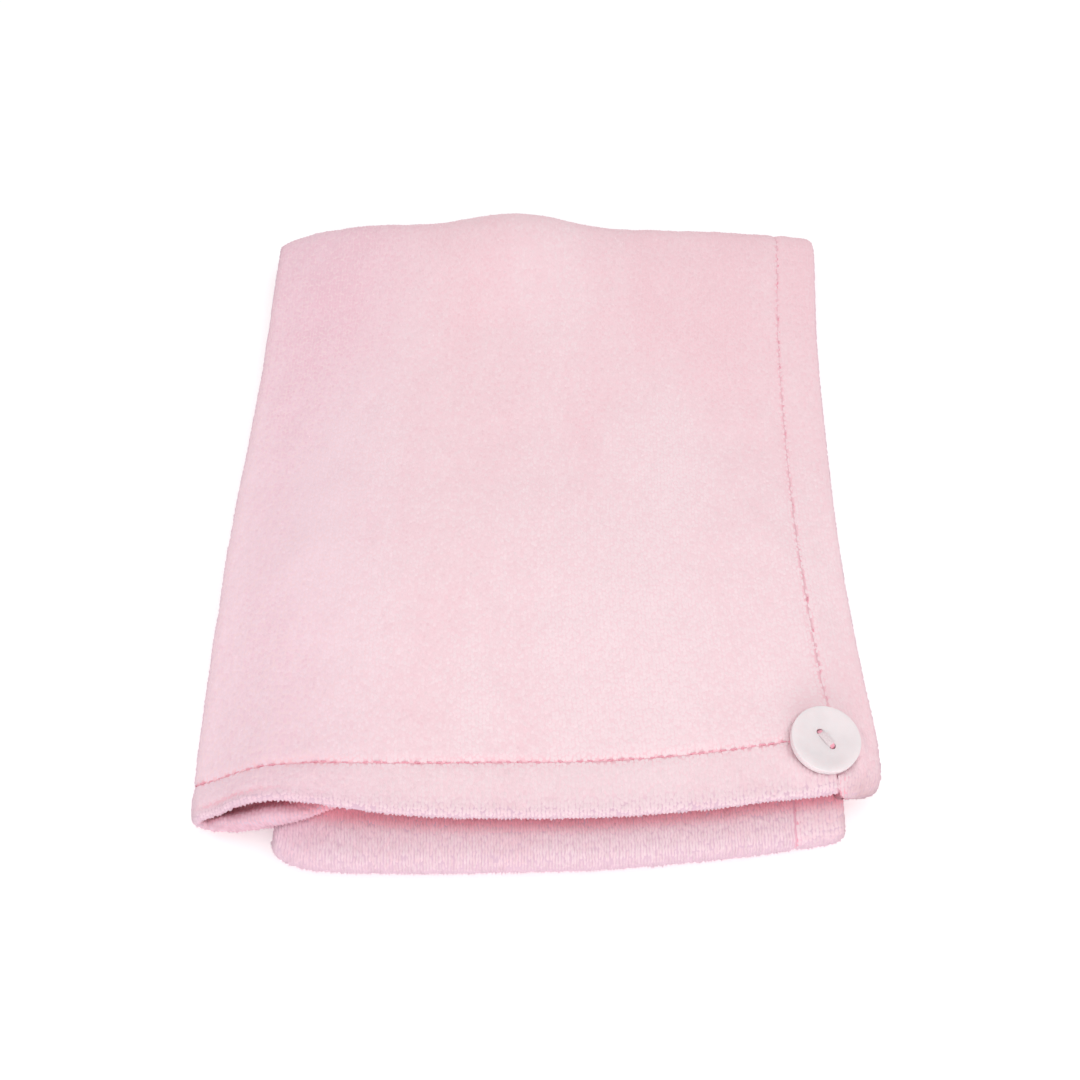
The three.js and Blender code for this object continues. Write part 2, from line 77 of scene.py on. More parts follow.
SECOND_SECTION = [
    dict(middle=(130, REST), left=(-121.6, 130, REST), right=(128.6, 130, REST)),
    dict(middle=(82, REST), left=(-118.5, 82, REST), right=(125.6, 82, REST)),
    dict(middle=(32, REST), left=(-114, 32, REST), right=(121, 32, REST)),
    dict(middle=(-20, 6.4), left=(-109.5, -20, 5), right=(117, -19, 5.6)),
    dict(middle=(-60, 9.2), left=(-105, -60, 7.4), right=(114.5, -58, 8.9), flat=(0.7, 0.7)),
    dict(middle=(-104, 9.2), left=(-101, -102, 8.4), right=(112, -98, 9.1), flat=(0.8, 0.7)),
]
THIRD_SECTION = [
    dict(middle=(-120, REST), left=(-93, -120, REST), right=(105, -116, REST)),
    dict(middle=(-92, REST), left=(-86, -92, REST), right=(91, -91, REST)),
    dict(middle=(-70, REST), left=(-77, -70, REST), right=(76, -70, REST)),
    dict(middle=(-52, REST), left=(-69, -52, REST), right=(66, -52, REST)),
]
# A fold: at each place where it starts, how far it reaches and how high it starts. Middle, left, right.
FAR_FOLD = dict(
    x=(0, -123.8, 130.2), y=(147, 148.5, 148), tip=(154.5, 154.5, 155), high=(15.4, 12.6, 12),
    gap=2.4, gap_left=1.2, flat=(0.4, 0.6), lean=0, drawn=(-9, -3),
)
NEAR_FOLD = dict(
    x=(0, -95.5, 109.6), y=(-156.4, -155.8, -146), tip=(-160, -159.2, -149.4), high=(9.6, 9.5, 9.4),
    gap=0.4, gap_left=0.4, flat=(0.7, 0.7), lean=3, drawn=(7, 1.5),
)

# The two lips of the mouth, at places across it: how far each lies behind the mouth's line, how far the
# upper one is raised, and how far the lower one sinks.
LIPS = {
    "x": (-125, -114, -102, -93, -84, -70, -45, 0, 60, 104, 125),
    "upper": (0, 2.5, 4.4, 4.3, 3.5, 2, 0.5, 0, 0, 0, 0),
    "lower": (0, -2.5, -3, -2, 1, 8, 11, 11, 11, 3, 0),
    "raised": (0, 0.9, 3.2, 4.4, 5, 3.4, 0.5, 0, 0, 0, 0),
    "sunk": (0, 0.8, 0.9, 0, 0, 0, 0, 0, 0, 0, 0),
}

# Places where the upper panel stands off the lower one.
SWELLS = [
    dict(x=-12, along=302, wide=34, back=44, on=6, height=8),
    dict(x=-76, along=300, wide=26, back=44, on=6, height=3.6),
    dict(x=-40, along=150, wide=45, back=70, on=70, height=1.2),
]


def smooth(start, end, value):
    share = np.clip((value - start) / (end - start), 0, 1)
    return share * share * (3 - 2 * share)


def lerp(a, b, share):
    return a + (b - a) * share


EIGHTHS = 4  # eighths of a turn in a fold, which goes half round


def turn(fold):
    """The rows of a fold: half a turn, down from one section to the next."""
    rows = []
    for eighth in range(EIGHTHS + 1):
        angle = math.pi / 4 * eighth
        place_on = [
            (x, y + (tip - y) * math.sin(angle), (high + REST) / 2 + (high - REST) / 2 * math.cos(angle))
            for x, y, tip, high in zip(fold["x"], fold["y"], fold["tip"], fold["high"])
        ]
        rows.append(dict(
            middle=place_on[0][1:], left=place_on[1], right=place_on[2],
            gap=lerp(fold["gap"], PRESSED, eighth / EIGHTHS),
            gap_left=lerp(fold["gap_left"], PRESSED, eighth / EIGHTHS),
            flat=fold["flat"], lean=fold["lean"], drawn=fold["drawn"],
        ))
    return rows


ROWS = FIRST_SECTION + turn(FAR_FOLD) + SECOND_SECTION + turn(NEAR_FOLD) + THIRD_SECTION


def rail(points, at):
    """A smooth centripetal curve through points, at places counted in rows."""
    points = np.array(points, float)
    points = np.vstack([2 * points[0] - points[1], points, 2 * points[-1] - points[-2]])
    start = np.clip(at.astype(int), 0, len(points) - 4)
    weight = (at - start)[:, None]
    p0, p1, p2, p3 = (points[start + k] for k in range(4))
    spans = ((p0, p1), (p1, p2), (p2, p3))
    d0, d1, d2 = (np.sum((b - a) ** 2, axis=1, keepdims=True) ** 0.25 for a, b in spans)
    leave = ((p1 - p0) / d0 - (p2 - p0) / (d0 + d1) + (p2 - p1) / d1) * d1
    arrive = ((p2 - p1) / d1 - (p3 - p1) / (d1 + d2) + (p3 - p2) / d2) * d1
    return (
        p1 + leave * weight
        + (3 * (p2 - p1) - 2 * leave - arrive) * weight**2
        + (2 * (p1 - p2) + leave + arrive) * weight**3
    )


PLACES = 200  # places worked out from each row to the next
AT = np.linspace(0, len(ROWS) - 1, PLACES * (len(ROWS) - 1) + 1)
MIDDLE = rail([(0, *row["middle"]) for row in ROWS], AT)
SLACK = np.array([
    (row.get("gap", PRESSED), row.get("gap_left", PRESSED), *row.get("flat", (0.5, 0.5)),
     row.get("lean", 0), *row.get("drawn", (0, 0)))
    for row in ROWS
], float)
STATIONS = np.hstack([
    MIDDLE[:, 1:],
    rail([row["left"] for row in ROWS], AT),
    rail([row["right"] for row in ROWS], AT),
    np.stack([np.interp(AT, range(len(ROWS)), column) for column in SLACK.T], axis=1),
])
ALONG = np.concatenate([[0], np.cumsum(np.linalg.norm(np.diff(MIDDLE, axis=0), axis=1))])
LENGTH = ALONG[-1]
TIP_STITCHES = LENGTH - SEAM_WIDTH


def along_of_row(index):
    return ALONG[PLACES * index]


TURNED = len(FIRST_SECTION) + EIGHTHS + 1 + len(SECOND_SECTION)
FAR_FOLD_FROM = along_of_row(len(FIRST_SECTION))
FAR_FOLD_TO = along_of_row(len(FIRST_SECTION) + EIGHTHS)
NEAR_FOLD_FROM = along_of_row(TURNED)
NEAR_FOLD_TO = along_of_row(TURNED + EIGHTHS)
UNDER_PILE = (NEAR_FOLD_FROM - 24, NEAR_FOLD_TO + 4)  # where the under side has pile all over


def station(along):
    return [np.interp(along, ALONG, column) for column in STATIONS.T]


def width_at(along):
    return np.interp(along, ALONG, STATIONS[:, 5] - STATIONS[:, 2])


def gaps_at(along):
    return np.interp(along, ALONG, STATIONS[:, 8]), np.interp(along, ALONG, STATIONS[:, 9])


def on_rows(across, along):
    (middle_y, middle_z, left_x, left_y, left_z, right_x, right_y, right_z,
     _, _, flat_left, flat_right, lean, drawn_left, drawn_right) = station(along)
    share = 2 * across / (right_x - left_x) - 1
    on_left = share < 0
    edge_y = np.where(on_left, left_y, right_y)
    edge_z = np.where(on_left, left_z, right_z)
    drawn = np.where(on_left, drawn_left, drawn_right)
    bow = share * share
    y = lerp(middle_y, edge_y, bow) + lean * share * (1 - bow) + drawn * bow**8
    drop = smooth(np.where(on_left, flat_left, flat_right), 1, np.abs(share))
    z = np.maximum(lerp(middle_z, edge_z, drop), REST)
    return np.stack([lerp(left_x, right_x, (share + 1) / 2), y, z], axis=-1)


def mid_surface(across, along):
    across, along = np.broadcast_arrays(np.asarray(across, float), np.asarray(along, float))
    point = on_rows(across, np.maximum(along, 0))
    before = np.minimum(along, 0)
    if np.any(before < 0):
        slope = on_rows(across, np.full_like(along, 1)) - on_rows(across, np.zeros_like(along))
        point = point + slope * before[..., None]
    return point


def place(across, along, off):
    """A point off the mid-surface: up in the first section, down in the second, up in the third."""
    step = 0.5
    sideways = mid_surface(across + step, along) - mid_surface(across - step, along)
    onward = mid_surface(across, np.minimum(along + step, LENGTH)) - mid_surface(across, along - step)
    normal = np.cross(sideways, onward)
    normal /= np.linalg.norm(normal, axis=-1, keepdims=True)
    return mid_surface(across, along) + normal * np.asarray(off)[..., None]


def lips_at(x, name):
    """A value of the lips at places across the mouth, on a smooth curve through the table."""
    known, values = np.array(LIPS["x"], float), np.array(LIPS[name], float)
    slopes = np.gradient(values, known)
    x = np.clip(x, known[0], known[-1])
    i = np.clip(np.searchsorted(known, x, side="right") - 1, 0, len(known) - 2)
    span = known[i + 1] - known[i]
    t = (x - known[i]) / span
    return (
        values[i] * (1 + 2 * t) * (1 - t) ** 2 + slopes[i] * span * t * (1 - t) ** 2
        + values[i + 1] * t * t * (3 - 2 * t) - slopes[i + 1] * span * t * t * (1 - t)
    )


LEFT_HOLLOW = (0.02, 0.14)  # the shares of the width over which the hollow in the left fold ends
NEARS_SEAM = 0.75  # the share of the width from which the panels close up to the side's stitches


def half_gap(across, along):
    gap, gap_left = gaps_at(along)
    share = across / (width_at(along) - SEAM_WIDTH)
    at_seam = lerp(gap, PRESSED, smooth(HEM_WIDTH, HEM_WIDTH + HEM_FADES, along))
    opened = lerp(gap_left, gap, smooth(*LEFT_HOLLOW, share))
    return lerp(opened, at_seam, smooth(NEARS_SEAM, 1, share)) / 2


def lift(across, along):
    """How far the upper panel is raised."""
    x = mid_surface(across, along)[..., 0]
    raised = lips_at(x, "raised") * (1 - smooth(0, LIP_WAVE, along))
    for swell in SWELLS:
        reach = np.where(along < swell["along"], swell["back"], swell["on"])
        onward = (along - swell["along"]) / reach
        raised = raised + swell["height"] * np.exp(-(((x - swell["x"]) / swell["wide"]) ** 2) - onward**2)
    return raised


def sink(across, along):
    """How far the lower panel sinks."""
    return lips_at(mid_surface(across, along)[..., 0], "sunk") * (1 - smooth(0, LIP_WAVE, along))


def setback(across, along, upper):
    """How far behind the mouth's line a panel's lip lies, and what is left of that further along."""
    x = mid_surface(across, np.zeros_like(along))[..., 0]
    near = 1 - smooth(0, HEM_WIDTH, along)
    far = 1 - smooth(HEM_WIDTH, HEM_WIDTH + LIP_SHIFT, along)
    return lerp(lips_at(x, "lower") * far, lips_at(x, "upper") * near, upper)


# The columns of cloth round the bag: from the stitches on the upper panel, round the left fold, to the
# stitches on the lower panel. flat_across is where each lies on the unfolded cloth.
UPPER_COLUMNS = 124
BEND_COLUMNS = 12
LOWER_COLUMNS = 84
NOMINAL_STITCHES = 234.5
NOMINAL_RADIUS = 4.8


def eased(count):
    share = np.arange(count) / count
    return (share + smooth(0, 1, share)) / 2


def by_part(upper, bend, lower):
    """A value for each column: on the upper panel, round the left fold, and on the lower panel."""
    parts = ((upper, UPPER_COLUMNS), (bend, BEND_COLUMNS + 1), (lower, LOWER_COLUMNS))
    return np.concatenate([np.broadcast_to(value, count) for value, count in parts])


class Columns:
    upper_share, lower_share = eased(UPPER_COLUMNS), eased(LOWER_COLUMNS)[::-1]
    angle = np.pi * np.arange(BEND_COLUMNS + 1) / BEND_COLUMNS
    panel = by_part(upper_share, 0.0, lower_share)
    bend = by_part(0.0, angle, np.pi)
    in_bend = by_part(0, 1, 0) > 0
    side = by_part(1.0, 0.0, -1.0)
    upper = by_part(1.0, 1 - angle / np.pi, 0.0)
    reach = NOMINAL_STITCHES - NOMINAL_RADIUS
    flat_across = by_part(
        upper_share * reach,
        reach + angle * NOMINAL_RADIUS,
        reach + np.pi * NOMINAL_RADIUS + (1 - lower_share) * reach,
    )


UPPER_END = Columns.reach
BEND_END = Columns.reach + np.pi * NOMINAL_RADIUS
WHOLE = Columns.flat_across[-1]


def ring(along):
    """The outer face of the cloth round the bag: where it is, and which way is out of the bag."""
    _, gap_left = gaps_at(along)
    radius = CLOTH + gap_left / 2
    across = lerp(width_at(along) - SEAM_WIDTH - TOUCH, radius, Columns.panel)
    raised = np.where(Columns.side > 0, lift(across, along), sink(across, along))
    off = CLOTH + half_gap(across, along) + raised * smooth(radius, radius + TURN_IN, across)
    sine, cosine = np.sin(Columns.bend), np.cos(Columns.bend)
    across = np.where(Columns.in_bend, radius * (1 - sine), across)
    off = np.where(Columns.in_bend, radius * cosine, off * Columns.side)
    out_across = np.where(Columns.in_bend, -sine, 0)
    out_off = np.where(Columns.in_bend, cosine, Columns.side)
    return across, off, out_across, out_off


def cloth_face(along, depth):
    """The cloth at rows along the bag, at a depth below its outer face."""
    along = np.repeat(np.asarray(along, float)[:, None], len(Columns.panel), axis=1)
    across, _, _, _ = ring(along)
    moved = along + setback(across, along, Columns.upper)
    across, off, out_across, out_off = ring(moved)
    return place(across - out_across * depth, moved, off - out_off * depth)


def waves(u, v, length, seed, count=18):
    """Soft irregular ripples of about one wavelength, from -1 to 1."""
    dice = np.random.default_rng(seed)
    total = np.zeros(np.broadcast(u, v).shape)
    for _ in range(count):
        heading, phase = dice.uniform(0, 2 * math.pi, 2)
        pitch = 2 * math.pi / (length * dice.uniform(0.75, 1.35))
        total += np.sin(pitch * (u * math.cos(heading) + v * math.sin(heading)) + phase)
    return total / math.sqrt(count)


def between(rise_from, rise_to, fall_from, fall_to, value):
    """1 between the middle two of four places, and fading to 0 at the outer two."""
    return smooth(rise_from, rise_to, value) * (1 - smooth(fall_from, fall_to, value))


def groove(distance, wide):
    return np.exp(-((distance / wide) ** 2))


def spaced(*stops):
    """Places from stop to stop, each pair given with the step between them, in a multiple of four steps."""
    places = [stops[0]]
    for step, stop in zip(stops[1::2], stops[2::2]):
        count = max(4, 4 * round((stop - places[-1]) / step / 4))
        places.extend(np.linspace(places[-1], stop, count + 1)[1:])
    return np.array(places)


def travelled_along(points):
    return np.concatenate([[0], np.cumsum(np.linalg.norm(np.diff(points, axis=0), axis=1))])


# Making meshes

def outward(points, faces):
    """The faces, turned round if they point into the closed shape."""
    volume = 0.0
    for face in faces:
        corners = points[list(face)]
        for k in range(1, len(face) - 1):
            volume += np.dot(corners[0], np.cross(corners[k], corners[k + 1]))
    return faces if volume > 0 else [tuple(reversed(face)) for face in faces]


def make_mesh(name, points, faces, material, uv=None, marks=None, normals=None):
    mesh = bpy.data.meshes.new(name)
    mesh.from_pydata((points * MM).tolist(), [], faces)
    mesh.polygons.foreach_set("use_smooth", np.ones(len(mesh.polygons), bool))
    if uv is not None:
        corner_of = np.empty(len(mesh.loops), np.int32)
        mesh.loops.foreach_get("vertex_index", corner_of)
        layer = mesh.uv_layers.new(name="cloth")
        layer.data.foreach_set("uv", (uv[corner_of] * MM).astype(np.float32).ravel())
    for mark, values in (marks or {}).items():
        attribute = mesh.attributes.new(mark, "FLOAT", "POINT")
        attribute.data.foreach_set("value", values.astype(np.float32))
    mesh.materials.append(material)
    if normals is not None:
        mesh.normals_split_custom_set_from_vertices(normals.tolist())
    piece = bpy.data.objects.new(name, mesh)
    bpy.context.scene.collection.objects.link(piece)
    return piece


def numbered(points, first=0):
    """The numbers of a grid's points, in its rows and columns."""
    return first + np.arange(points.size // 3).reshape(points.shape[:2])


def grid_faces(grid):
    return np.stack([grid[:-1, :-1], grid[:-1, 1:], grid[1:, 1:], grid[1:, :-1]], axis=-1).reshape(-1, 4)


def closed_faces(grid, first, last, *ends):
    """The faces of a grid, of the wall between its first and last lines of points, and of its two ends."""
    wall = np.stack([first[1:], first[:-1], last[:-1], last[1:]], axis=1)
    return [*grid_faces(grid).tolist(), *wall.tolist(), *(end.tolist() for end in ends)]


def joining(edge, back):
    """The faces between an edge of points and one that has a point for every fourth of them."""
    return [[*edge[4 * k: 4 * k + 5], back[k + 1], back[k]] for k in range(len(back) - 1)]


def unit(ways):
    return ways / np.maximum(np.linalg.norm(ways, axis=-1, keepdims=True), 1e-9)


def on_grid(u, v):
    """The places on the unfolded cloth of a grid's points, row after row."""
    return np.stack(np.broadcast_arrays(u, v), axis=-1).reshape(-1, 2)


def fit(piece, stands_for=None):
    """Puts a piece on the one body, in the place of a solid if it stands for one."""
    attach(piece, "root")
    if stands_for:
        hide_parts(stands_for)


class Face:
    """A grid of points on a cloth's face, with its place on the unfolded cloth."""

    def __init__(self, points, u, v, up_at):
        """up_at is a row and column where the way out of the face is known to be up."""
        self.points, self.u, self.v = points, np.asarray(u, float), np.asarray(v, float)
        self.sideways, self.onward = unit(np.gradient(points, axis=1)), unit(np.gradient(points, axis=0))
        out = unit(np.cross(self.sideways, self.onward))
        self.out = out if out[up_at][2] > 0 else -out

    def at(self, u, v):
        """Place, way out, and ways sideways and onward, at places on the unfolded cloth."""
        c = np.clip(np.interp(u, self.u, np.arange(len(self.u))), 0, len(self.u) - 1.001)
        r = np.clip(np.interp(v, self.v, np.arange(len(self.v))), 0, len(self.v) - 1.001)
        c0, r0 = c.astype(int), r.astype(int)
        cf, rf = (c - c0)[:, None], (r - r0)[:, None]
        found = []
        for values in (self.points, self.out, self.sideways, self.onward):
            near = lerp(values[r0, c0], values[r0, c0 + 1], cf)
            far = lerp(values[r0 + 1, c0], values[r0 + 1, c0 + 1], cf)
            found.append(lerp(near, far, rf))
        return found[0], *(unit(ways) for ways in found[1:])


# Materials

def paint(red, green, blue):
    """A colour from its red, green and blue on a screen, 0 to 255."""
    return tuple(((value / 255 + 0.055) / 1.055) ** 2.4 for value in (red, green, blue)) + (1,)


class Finish:
    """A material made of nodes, joined up by short calls."""

    def __init__(self, name, **sockets):
        self.material = bpy.data.materials.new(name)
        self.material.use_nodes = True
        self.nodes, self.links = self.material.node_tree.nodes, self.material.node_tree.links
        self.shader = self.nodes["Principled BSDF"]
        for socket, value in sockets.items():
            self.shader.inputs[socket].default_value = value

    def node(self, kind, settings=None, **inputs):
        made = self.nodes.new(kind)
        for setting, value in (settings or {}).items():
            setattr(made, setting, value)
        for key, value in inputs.items():
            self.feed(made.inputs[key.replace("_", " ")], value)
        return made

    def feed(self, socket, value):
        if isinstance(value, bpy.types.NodeSocket):
            self.links.new(value, socket)
        else:
            socket.default_value = value

    def math(self, operation, a, b):
        made = self.node("ShaderNodeMath", {"operation": operation})
        self.feed(made.inputs[0], a)
        self.feed(made.inputs[1], b)
        return made.outputs[0]

    def plus(self, a, b):
        return self.math("ADD", a, b)

    def less(self, a, b):
        return self.math("SUBTRACT", a, b)

    def times(self, a, b):
        return self.math("MULTIPLY", a, b)

    def object_place(self, *scale):
        place_in = self.node("ShaderNodeTexCoord").outputs["Object"]
        if not scale:
            return place_in
        return self.node("ShaderNodeMapping", Vector=place_in, Scale=scale).outputs[0]

    def reach(self, axis, start, end, most):
        """From 0 to most between two places along an axis of the object, in metres."""
        apart = self.node("ShaderNodeSeparateXYZ", Vector=self.object_place())
        return self.node("ShaderNodeMapRange", {"interpolation_type": "SMOOTHSTEP"}, **{
            "Value": apart.outputs[axis], "From Min": start, "From Max": end, "To Min": 0.0, "To Max": most,
        }).outputs[0]

    def noise(self, vector, scale, detail=2.0, roughness=0.5):
        inputs = {"Vector": vector, "Scale": scale, "Detail": detail, "Roughness": roughness}
        return self.node("ShaderNodeTexNoise", **inputs).outputs["Fac"]

    def ramp(self, value, *stops):
        made = self.node("ShaderNodeValToRGB", Fac=value)
        elements = made.color_ramp.elements
        while len(elements) < len(stops):
            elements.new(0.5)
        for element, (position, colour) in zip(elements, stops):
            element.position, element.color = position, colour
        return made.outputs["Color"]

    def mix(self, share, a, b):
        made = self.node("ShaderNodeMix", {"data_type": "RGBA"})
        self.feed(made.inputs[0], share)
        self.feed(made.inputs[6], a)
        self.feed(made.inputs[7], b)
        return made.outputs[2]

    def attribute(self, name):
        return self.node("ShaderNodeAttribute", {"attribute_name": name}).outputs["Fac"]

    def bump(self, height, distance, strength):
        made = self.node("ShaderNodeBump", Height=height, Distance=distance, Strength=strength)
        return made.outputs["Normal"]

    def done(self, colour, normal=None, roughness=None):
        self.feed(self.shader.inputs["Base Color"], colour)
        if normal is not None:
            self.feed(self.shader.inputs["Normal"], normal)
        if roughness is not None:
            self.feed(self.shader.inputs["Roughness"], roughness)
        return self.material


PALE_PINK = paint(253, 229, 234)
MID_PINK = paint(252, 212, 220)
# lilac tips for a painted cool light tint on the left
LILAC_PINK = paint(246, 201, 217)
PALE_LILAC = paint(250, 219, 231)
ROOT_PINK = paint(252, 219, 226)
# painted shade: mauve at the roots of open ribs and on tufts that face sideways or down
PAINTED_SHADE_MAUVE = paint(223, 190, 206)
# painted shade: strong pink where the cloth is shut in, under the lips, inside the mouth, on inner faces, in
# the notch and in stitch grooves
SHUT_IN_SHADE_PINK = paint(255, 182, 196)
# painted shade: a duskier peach at the mouth's right corner
CORNER_SHADE_PINK = paint(212, 176, 176)
CLOTH_SHEEN = {
    "Roughness": 0.92, "Sheen Weight": 0.2, "Sheen Roughness": 0.6, "Specular IOR Level": 0.12,
    "Sheen Tint": paint(255, 240, 243),
}

# How the cloth's tone varies: in streaks along the bag, in small patches, and from tuft to tuft. Painted
# shade darkens it towards the far fold and the right. Each fade has its axis, its start and end in metres,
# and its most.
BASE_TONE = -0.04
STREAK_SCALE, STREAK_TONE = (30, 8, 20), 1.05
PATCH_SCALE, PATCH_TONE = 75.0, 0.25
TUFT_TONE = 0.35
LOOP_TONE = 0.4
# painted shade, darker towards the far fold and the right
PAINTED_SHADE_FAR = ("Y", -0.02, 0.12, 0.3)
PAINTED_SHADE_RIGHT = ("X", 0.03, 0.1, 0.12)
# a painted cool light tint, lilac on the left
PAINTED_COOL_LIGHT_LEFT = ("X", -0.03, -0.11, 0.8)
# painted shade at the mouth's right corner
PAINTED_CORNER_SHADE = (("X", 0.105, 0.117, 1.0), ("Y", -0.128, -0.147, 0.7))


def patchiness(finish):
    """Soft streaks and patches where the pile lies differently, darker with painted shade towards the far
    fold and the right.
    """
    streaks = finish.noise(finish.object_place(*STREAK_SCALE), 1.0, detail=3.0)
    patches = finish.noise(finish.object_place(), PATCH_SCALE)
    mottled = finish.plus(finish.times(streaks, STREAK_TONE), finish.times(patches, PATCH_TONE))
    far_right_shade = finish.plus(finish.reach(*PAINTED_SHADE_FAR), finish.reach(*PAINTED_SHADE_RIGHT))
    return finish.less(finish.plus(mottled, BASE_TONE), far_right_shade)


def pile_finish():
    """The pile: each tuft a little different, paler at its tip, and painted pink shade where it is shut in.
    """
    finish = Finish("plush_pile", **CLOTH_SHEEN)
    tone = finish.plus(patchiness(finish), finish.times(finish.attribute("tone"), TUFT_TONE))
    tips = finish.ramp(tone, (0.35, MID_PINK), (0.9, PALE_PINK))
    # a painted cool light tint turns the tips lilac on the left
    lilac = finish.ramp(tone, (0.35, LILAC_PINK), (0.9, PALE_LILAC))
    tips = finish.mix(finish.reach(*PAINTED_COOL_LIGHT_LEFT), tips, lilac)
    # painted shade: where the ribs open, their roots are mauve
    root = finish.mix(finish.attribute("ribbed"), ROOT_PINK, PAINTED_SHADE_MAUVE)
    colour = finish.mix(finish.attribute("tip"), root, tips)
    # painted shade: mauve on tufts that face sideways or down and on the lower lip's hem
    colour = finish.mix(finish.attribute("painted_underside_shade"), colour, PAINTED_SHADE_MAUVE)
    # painted shade: the mouth's right corner is duskier
    corner = finish.times(*(finish.reach(*fade) for fade in PAINTED_CORNER_SHADE))
    colour = finish.mix(corner, colour, CORNER_SHADE_PINK)
    # painted shade: strong pink where the cloth is shut in
    return finish.done(finish.mix(finish.attribute("painted_shut_in_shade"), colour, SHUT_IN_SHADE_PINK))


def ground_finish():
    """The ground of the cloth: knit ribs and loops, a darker pink below the pile, paler where it is bare,
    with painted shade.
    """
    finish = Finish("plush_ground", **CLOTH_SHEEN)
    cloth = finish.node("ShaderNodeUVMap", {"uv_map": "cloth"}).outputs["UV"]
    knit = (1 / (WALE * MM), 1 / (COURSE * MM), 1)
    ribs = finish.node("ShaderNodeMapping", Vector=cloth, Scale=knit).outputs[0]
    loops = finish.node("ShaderNodeTexVoronoi", {"feature": "SMOOTH_F1"}, **{
        "Vector": ribs, "Scale": 1.0, "Randomness": 0.85, "Smoothness": 0.6,
    }).outputs["Distance"]
    fuzz = finish.noise(ribs, 2.6, detail=3.0, roughness=0.65)
    height = finish.less(finish.times(fuzz, 0.7), loops)
    tone = finish.plus(patchiness(finish), finish.times(height, LOOP_TONE))
    bare = finish.ramp(tone, (0.1, ROOT_PINK), (0.35, MID_PINK), (0.75, PALE_PINK))
    covered = finish.attribute("covered")
    # painted shade: where the ribs open, the cloth below the pile is mauve
    root = finish.mix(finish.attribute("ribbed"), ROOT_PINK, PAINTED_SHADE_MAUVE)
    # painted shade: strong pink where the cloth is shut in and in the stitches' grooves
    colour = finish.mix(finish.attribute("painted_shut_in_shade"), finish.mix(covered, bare, root), SHUT_IN_SHADE_PINK)
    uncovered = finish.less(1.0, finish.times(covered, 0.9))
    return finish.done(colour, finish.bump(finish.times(height, uncovered), 0.9 * MM, 0.8))


def thread_finish(name, light, dark):
    finish = Finish(name, Roughness=0.75, **{"Sheen Weight": 0.15, "Specular IOR Level": 0.25})
    plies = finish.noise(finish.object_place(), 2400.0)
    return finish.done(finish.ramp(plies, (0.3, dark), (0.7, light)), finish.bump(plies, 0.1 * MM, 0.7))


def button_finish():
    """Off-white plastic, faintly cloudy, with a soft gloss."""
    finish = Finish("button_plastic", **{
        "Specular IOR Level": 0.4, "Coat Weight": 0.1, "Coat Roughness": 0.3,
        "Subsurface Weight": 0.3, "Subsurface Radius": (0.004, 0.003, 0.003), "Subsurface Scale": 1.0,
    })
    cloud = finish.noise(finish.object_place(), 160.0, detail=3.0)
    colour = finish.ramp(cloud, (0.3, paint(236, 226, 228)), (0.7, paint(242, 232, 234)))
    grain = finish.noise(finish.object_place(), 1500.0)
    roughness = finish.node("ShaderNodeMapRange", Value=cloud, To_Min=0.3, To_Max=0.45).outputs[0]
    return finish.done(colour, finish.bump(grain, 0.05 * MM, 0.35), roughness)


def elastic_finish():
    """Braided elastic: fine slanting plies in pink."""
    finish = Finish("elastic_cord", Roughness=0.8, **{"Sheen Weight": 0.2, "Specular IOR Level": 0.2})
    cloth = finish.node("ShaderNodeUVMap", {"uv_map": "cloth"}).outputs["UV"]
    plies = finish.node("ShaderNodeTexWave", {"bands_direction": "DIAGONAL"}, **{
        "Vector": cloth, "Scale": 420.0, "Distortion": 1.5,
    }).outputs["Fac"]
    colour = finish.ramp(plies, (0.1, paint(214, 140, 158)), (0.8, paint(240, 192, 203)))
    return finish.done(colour, finish.bump(plies, 0.15 * MM, 0.6))


def floor_finish():
    finish = Finish("pale_floor", Roughness=0.6, **{
        "Specular IOR Level": 0.2, "Emission Color": paint(255, 253, 253), "Emission Strength": 0.25,
    })
    cloud = finish.noise(finish.object_place(), 3.0, detail=3.0)
    return finish.done(finish.ramp(cloud, (0.2, paint(250, 250, 250)), (0.8, paint(253, 253, 253))))


pile = pile_finish()
ground = ground_finish()
pink_thread = thread_finish("pink_thread", paint(250, 186, 200), paint(242, 160, 180))
white_thread = thread_finish("white_thread", paint(240, 228, 230), paint(226, 210, 214))
button_plastic = button_finish()
elastic = elastic_finish()


# The camera, at the photograph's angle
CAMERA_PITCH = 55  # degrees down from level
CAMERA_AT = (0, -0.355, 0.486)
SENSOR, LENS = 36, 47.2


def set_camera():
    lens = bpy.data.cameras.new("camera")
    lens.sensor_width, lens.lens = SENSOR, LENS
    camera = bpy.data.objects.new("camera", lens)
    camera.location = CAMERA_AT
    camera.rotation_euler = (math.pi / 2 - math.radians(CAMERA_PITCH), 0, 0)
    bpy.context.scene.collection.objects.link(camera)
    bpy.context.scene.camera = camera


set_camera()


# The loop on the tip, an elastic cord that goes over the button: its line in metres, across and out from
# the tip, where both its ends are sewn in.
LOOP_RADIUS = 1.5
LOOP_LIFT = 1.8
LOOP_FROM_LEFT = 62
LOOP_PLIES = {"sunk": 0.12, "high": 0.1, "pitch": 4}  # the braid's plies on its surface
LOOP_ROUTE = [
    (-0.005, 0), (-0.0051, 0.0025), (-0.0056, 0.0055), (-0.0068, 0.009), (-0.0084, 0.0126),
    (-0.0097, 0.0164), (-0.01, 0.0204), (-0.0086, 0.025), (-0.0049, 0.0294), (0, 0.031),
    (0.0049, 0.0294), (0.0086, 0.025), (0.01, 0.0204), (0.0097, 0.0164), (0.0084, 0.0126),
    (0.0068, 0.009), (0.0056, 0.0055), (0.0051, 0.0025), (0.005, 0),
]


